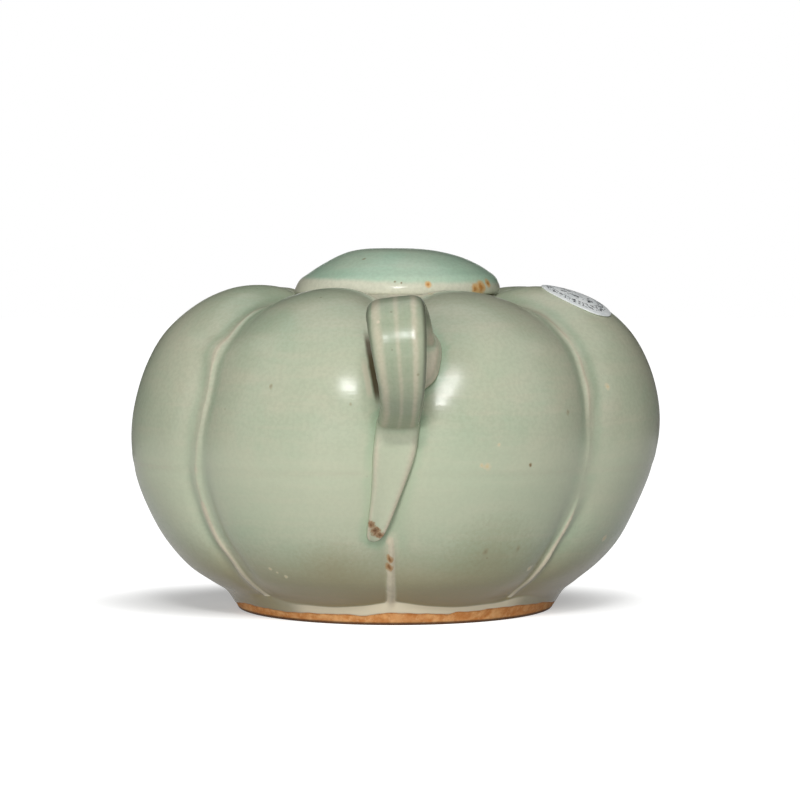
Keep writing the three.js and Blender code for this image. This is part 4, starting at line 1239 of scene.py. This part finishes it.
def clay_material(name, under_glaze):
    """Bare fired clay, flashed darker along the glaze's edge, with painted shade at the bottom where the
    piece stands, in place of its contact shadow.
    """
    material, tree, shader, place = new_material(name)
    tone = noise(tree, place, 320, 5, 0.65)
    broad = noise(tree, place, 40, 3, 0.5)
    shade = mixed(tree, between(tree, tone, 0.35, 0.65), colour(202, 132, 70), colour(234, 178, 118))
    shade = mixed(tree, between(tree, broad, 0.45, 0.7, 0.0, 0.4), shade, colour(188, 116, 58))
    grit = between(tree, noise(tree, place, 900, 2, 0.6), 0.58, 0.7, 0.0, 0.45)
    shade = mixed(tree, grit, shade, colour(236, 196, 146))
    if under_glaze:
        height = put(tree, "ShaderNodeSeparateXYZ", {0: place}).outputs[2]
        fine = times(tree, calc(tree, "SUBTRACT", noise(tree, place, 420, 2, 0.6), 0.5), MM)
        edge = times(tree, read_attribute(tree, "clay_top"), MM)
        level = calc(tree, "SUBTRACT", calc(tree, "ADD", height, fine), edge)
        shade = mixed(tree, between(tree, level, -0.6 * MM, 0.0, 0.0, 0.5), shade, colour(146, 82, 36))
        # Painted contact shadow along the bottom edge where the foot stands
        shade = mixed(tree, between(tree, height, 1.25 * MM, 0.6 * MM, 0.0, 0.9), shade, colour(62, 42, 28))
    relief = put(tree, "ShaderNodeBump", {"Height": tone, "Strength": 0.6, "Distance": 0.0004})
    set_inputs(tree, shader, {"Base Color": shade, "Roughness": 0.75, "Normal": relief.outputs["Normal"]})
    return material


foot_clay = clay_material("Foot clay", True)
flange_clay = clay_material("Flange clay", False)


def flat_place(tree, across, up):
    """A place for a pattern made of two numbers."""
    return put(tree, "ShaderNodeCombineXYZ", {0: across, 1: up}).outputs[0]


def label_material():
    """White paper with a printed ring of small strokes and a curly mark inside it, and no words."""
    material, tree, shader, place = new_material("Label paper")
    u, v = read_attribute(tree, "label_u"), read_attribute(tree, "label_v")
    radius = calc(tree, "SQRT", calc(tree, "ADD", times(tree, u, u), times(tree, v, v)))
    turn = calc(tree, "ARCTAN2", v, u)
    round_ring = flat_place(tree, times(tree, turn, 9.0), times(tree, radius, 12.0))
    strokes = between(tree, noise(tree, round_ring, 1.0, 2, 0.6), 0.5, 0.55)
    band = between(tree, calc(tree, "ABSOLUTE", calc(tree, "SUBTRACT", radius, 0.74)), 0.12, 0.1)
    on_paper = flat_place(tree, times(tree, u, 3.4), times(tree, v, 3.4))
    curls = between(tree, noise(tree, on_paper, 1.0, 3, 0.6, 1.5), 0.53, 0.57)
    within = between(tree, radius, 0.54, 0.5)
    ink = calc(tree, "MAXIMUM", times(tree, strokes, band), times(tree, curls, within))
    worn = between(tree, noise(tree, place, 500, 3, 0.6), 0.3, 0.5, 0.6, 1.0)
    fibre = between(tree, noise(tree, place, 260, 4, 0.6), 0.3, 0.7)
    paper = mixed(tree, fibre, colour(220, 225, 225), colour(238, 241, 240))
    shade = mixed(tree, times(tree, ink, worn), paper, colour(46, 50, 54))
    set_inputs(tree, shader, {"Base Color": shade, "Roughness": 0.85})
    return material


label_paper = label_material()

rib_nodes = [f"groove_rib_{number}" for number in range(1, 9)]
for piece, material, nodes, body_name, slot in (
    (body, body_glaze, ["lower_shell", "upper_shell"] + rib_nodes, "vessel", "body_glaze"),
    (spout, body_glaze, ["spout"], "vessel", "body_glaze"),
    (handle, handle_glaze, ["handle_strap", "handle_root_pad", "handle_tail"], "vessel", "body_glaze"),
    (foot, foot_clay, ["foot_ring"], "vessel", "bare_clay"),
    (collar, collar_glaze, ["mouth_collar"], "vessel", "thin_glaze"),
    (label, label_paper, ["paper_label"], "vessel", "label_paper"),
    (flange, flange_clay, ["cover_flange"], "flange", "bare_clay"),
    (cover, cover_glaze, ["cover_dome"], "cover", "cover_glaze"),
):
    piece.data.materials.clear()
    piece.data.materials.append(material)
    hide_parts(*nodes)
    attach(piece, body_name)


# Stage, light and camera

scene = bpy.context.scene
scene.view_settings.view_transform = "Standard"

fresh_selection()
bpy.ops.mesh.primitive_plane_add(size=8, location=(0, 0, 0))
floor = bpy.context.object
floor.name = "floor"
FLOOR_GREY = (0.62, 0.62, 0.62, 1)
# How much the floor glows by itself: everywhere, and what comes on top of it away from the ewer
FLOOR_GLOW, FAR_GLOW = 0.36, 0.66
floor_material, tree, shader, floor_place = new_material("White floor")
set_inputs(tree, shader, {"Base Color": FLOOR_GREY, "Roughness": 0.9, "Specular IOR Level": 0.0})


def seen_directly(tree):
    """1 where the camera sees the stage, also mirrored or through glass, and 0 where it lights the ewer."""
    rays = put(tree, "ShaderNodeLightPath")
    mirrored = calc(tree, "MAXIMUM", rays.outputs["Is Glossy Ray"], rays.outputs["Is Transmission Ray"])
    return calc(tree, "MAXIMUM", rays.outputs["Is Camera Ray"], mirrored)


# The glow away from the ewer starts at an oval round its foot, so that its shadow stays
shifted = put(tree, "ShaderNodeVectorMath", {0: floor_place, 1: (0.009, -0.012, 0)}).outputs[0]
oval_place = stretched(tree, shifted, (1, 1.7, 1))
away = put(tree, "ShaderNodeVectorMath", {0: oval_place}, operation="LENGTH").outputs["Value"]
to_camera = put(tree, "ShaderNodeLightPath").outputs["Is Camera Ray"]
far_glow = times(tree, to_camera, between(tree, away, 0.054, 0.108, 0.0, FAR_GLOW))
strength = times(tree, seen_directly(tree), calc(tree, "ADD", far_glow, FLOOR_GLOW))
glow = put(tree, "ShaderNodeEmission", {"Color": (1, 1, 1, 1), "Strength": strength})
total = put(tree, "ShaderNodeAddShader", {0: shader.outputs[0], 1: glow.outputs[0]})
tree.links.new(total.outputs[0], tree.nodes["Material Output"].inputs["Surface"])
floor.data.materials.append(floor_material)

world = bpy.data.worlds.new("Studio")
scene.world = world
world.use_nodes = True
tree = world.node_tree
background = tree.nodes["Background"]
WORLD_LIGHT = 0.16
brightness = between(tree, seen_directly(tree), 0, 1, WORLD_LIGHT, 1.0)
set_inputs(tree, background, {"Color": (1, 1, 1, 1), "Strength": brightness})


def softbox(name, distance, azimuth, elevation, width, height, power):
    """A rectangular lamp seen from the ewer at an azimuth (0 is the camera's side) and an elevation."""
    turn, tilt = math.radians(azimuth), math.radians(elevation)
    middle = Vector((0, 0, 0.06))
    way = Vector((math.sin(turn) * math.cos(tilt), -math.cos(turn) * math.cos(tilt), math.sin(tilt)))
    lamp = bpy.data.lights.new(name, "AREA")
    lamp.shape = "RECTANGLE"
    lamp.size, lamp.size_y, lamp.energy = width, height, power
    box = bpy.data.objects.new(name, lamp)
    scene.collection.objects.link(box)
    box.location = middle + way * distance
    box.rotation_euler = (-way).to_track_quat("-Z", "Y").to_euler()
    return box


softbox("key_softbox", 1.6, 0, 34, 0.38, 0.13, 8).data.shape = "ELLIPSE"
softbox("front_fill", 1.9, -10, 4, 1.2, 0.8, 25).visible_glossy = False
softbox("top_softbox", 1.8, 0, 84, 1.3, 1.3, 3.1)

board_material, tree, shader, board_place = new_material("Dark boards")
board_height = put(tree, "ShaderNodeSeparateXYZ", {0: board_place}).outputs[2]
board_shade = mixed(tree, between(tree, board_height, 0, 0.16), colour(165, 165, 165), colour(50, 50, 50))
set_inputs(tree, shader, {"Base Color": board_shade, "Roughness": 0.9})


def dark_board(name, first, last, low, high, distance=480):
    """A bent board round the back, hidden from the camera, that keeps the ewer's edges dark. The turns are in
    degrees from the back, and the heights and the distance in mm."""
    turns = np.radians(np.linspace(first, last, 25))[None, :]
    heights = np.linspace(low, high, 12)[:, None]
    reach = distance - 0.12 * heights
    points = np.stack([reach * np.sin(turns), reach * np.cos(turns), heights + 0 * turns], axis=-1)
    board = wrapped(name, points)
    board.data.materials.append(board_material)
    board.visible_camera = False


dark_board("left_board", -100, -25, 0, 400)
dark_board("right_board", 25, 100, 0, 400)
dark_board("back_board", -70, 70, 240, 620)
dark_board("far_left_board", -60, -13.6, 0, 322, 1500)
dark_board("far_right_board", 13.6, 60, 0, 322, 1500)
dark_board("far_back_board", -60, 60, 322, 1100, 1500)

CAMERA_SIDE, CAMERA_AWAY, CAMERA_HEIGHT, AIM_HEIGHT = 0.0015, 0.860, 0.106, 0.0627
camera_data = bpy.data.cameras.new("camera")
camera_data.lens = 127.5
camera_data.sensor_width = 36
camera = bpy.data.objects.new("camera", camera_data)
scene.collection.objects.link(camera)
camera.location = (CAMERA_SIDE, -CAMERA_AWAY, CAMERA_HEIGHT)
aim = Vector((CAMERA_SIDE, 0, AIM_HEIGHT)) - camera.location
camera.rotation_euler = aim.to_track_quat("-Z", "Y").to_euler()
scene.camera = camera
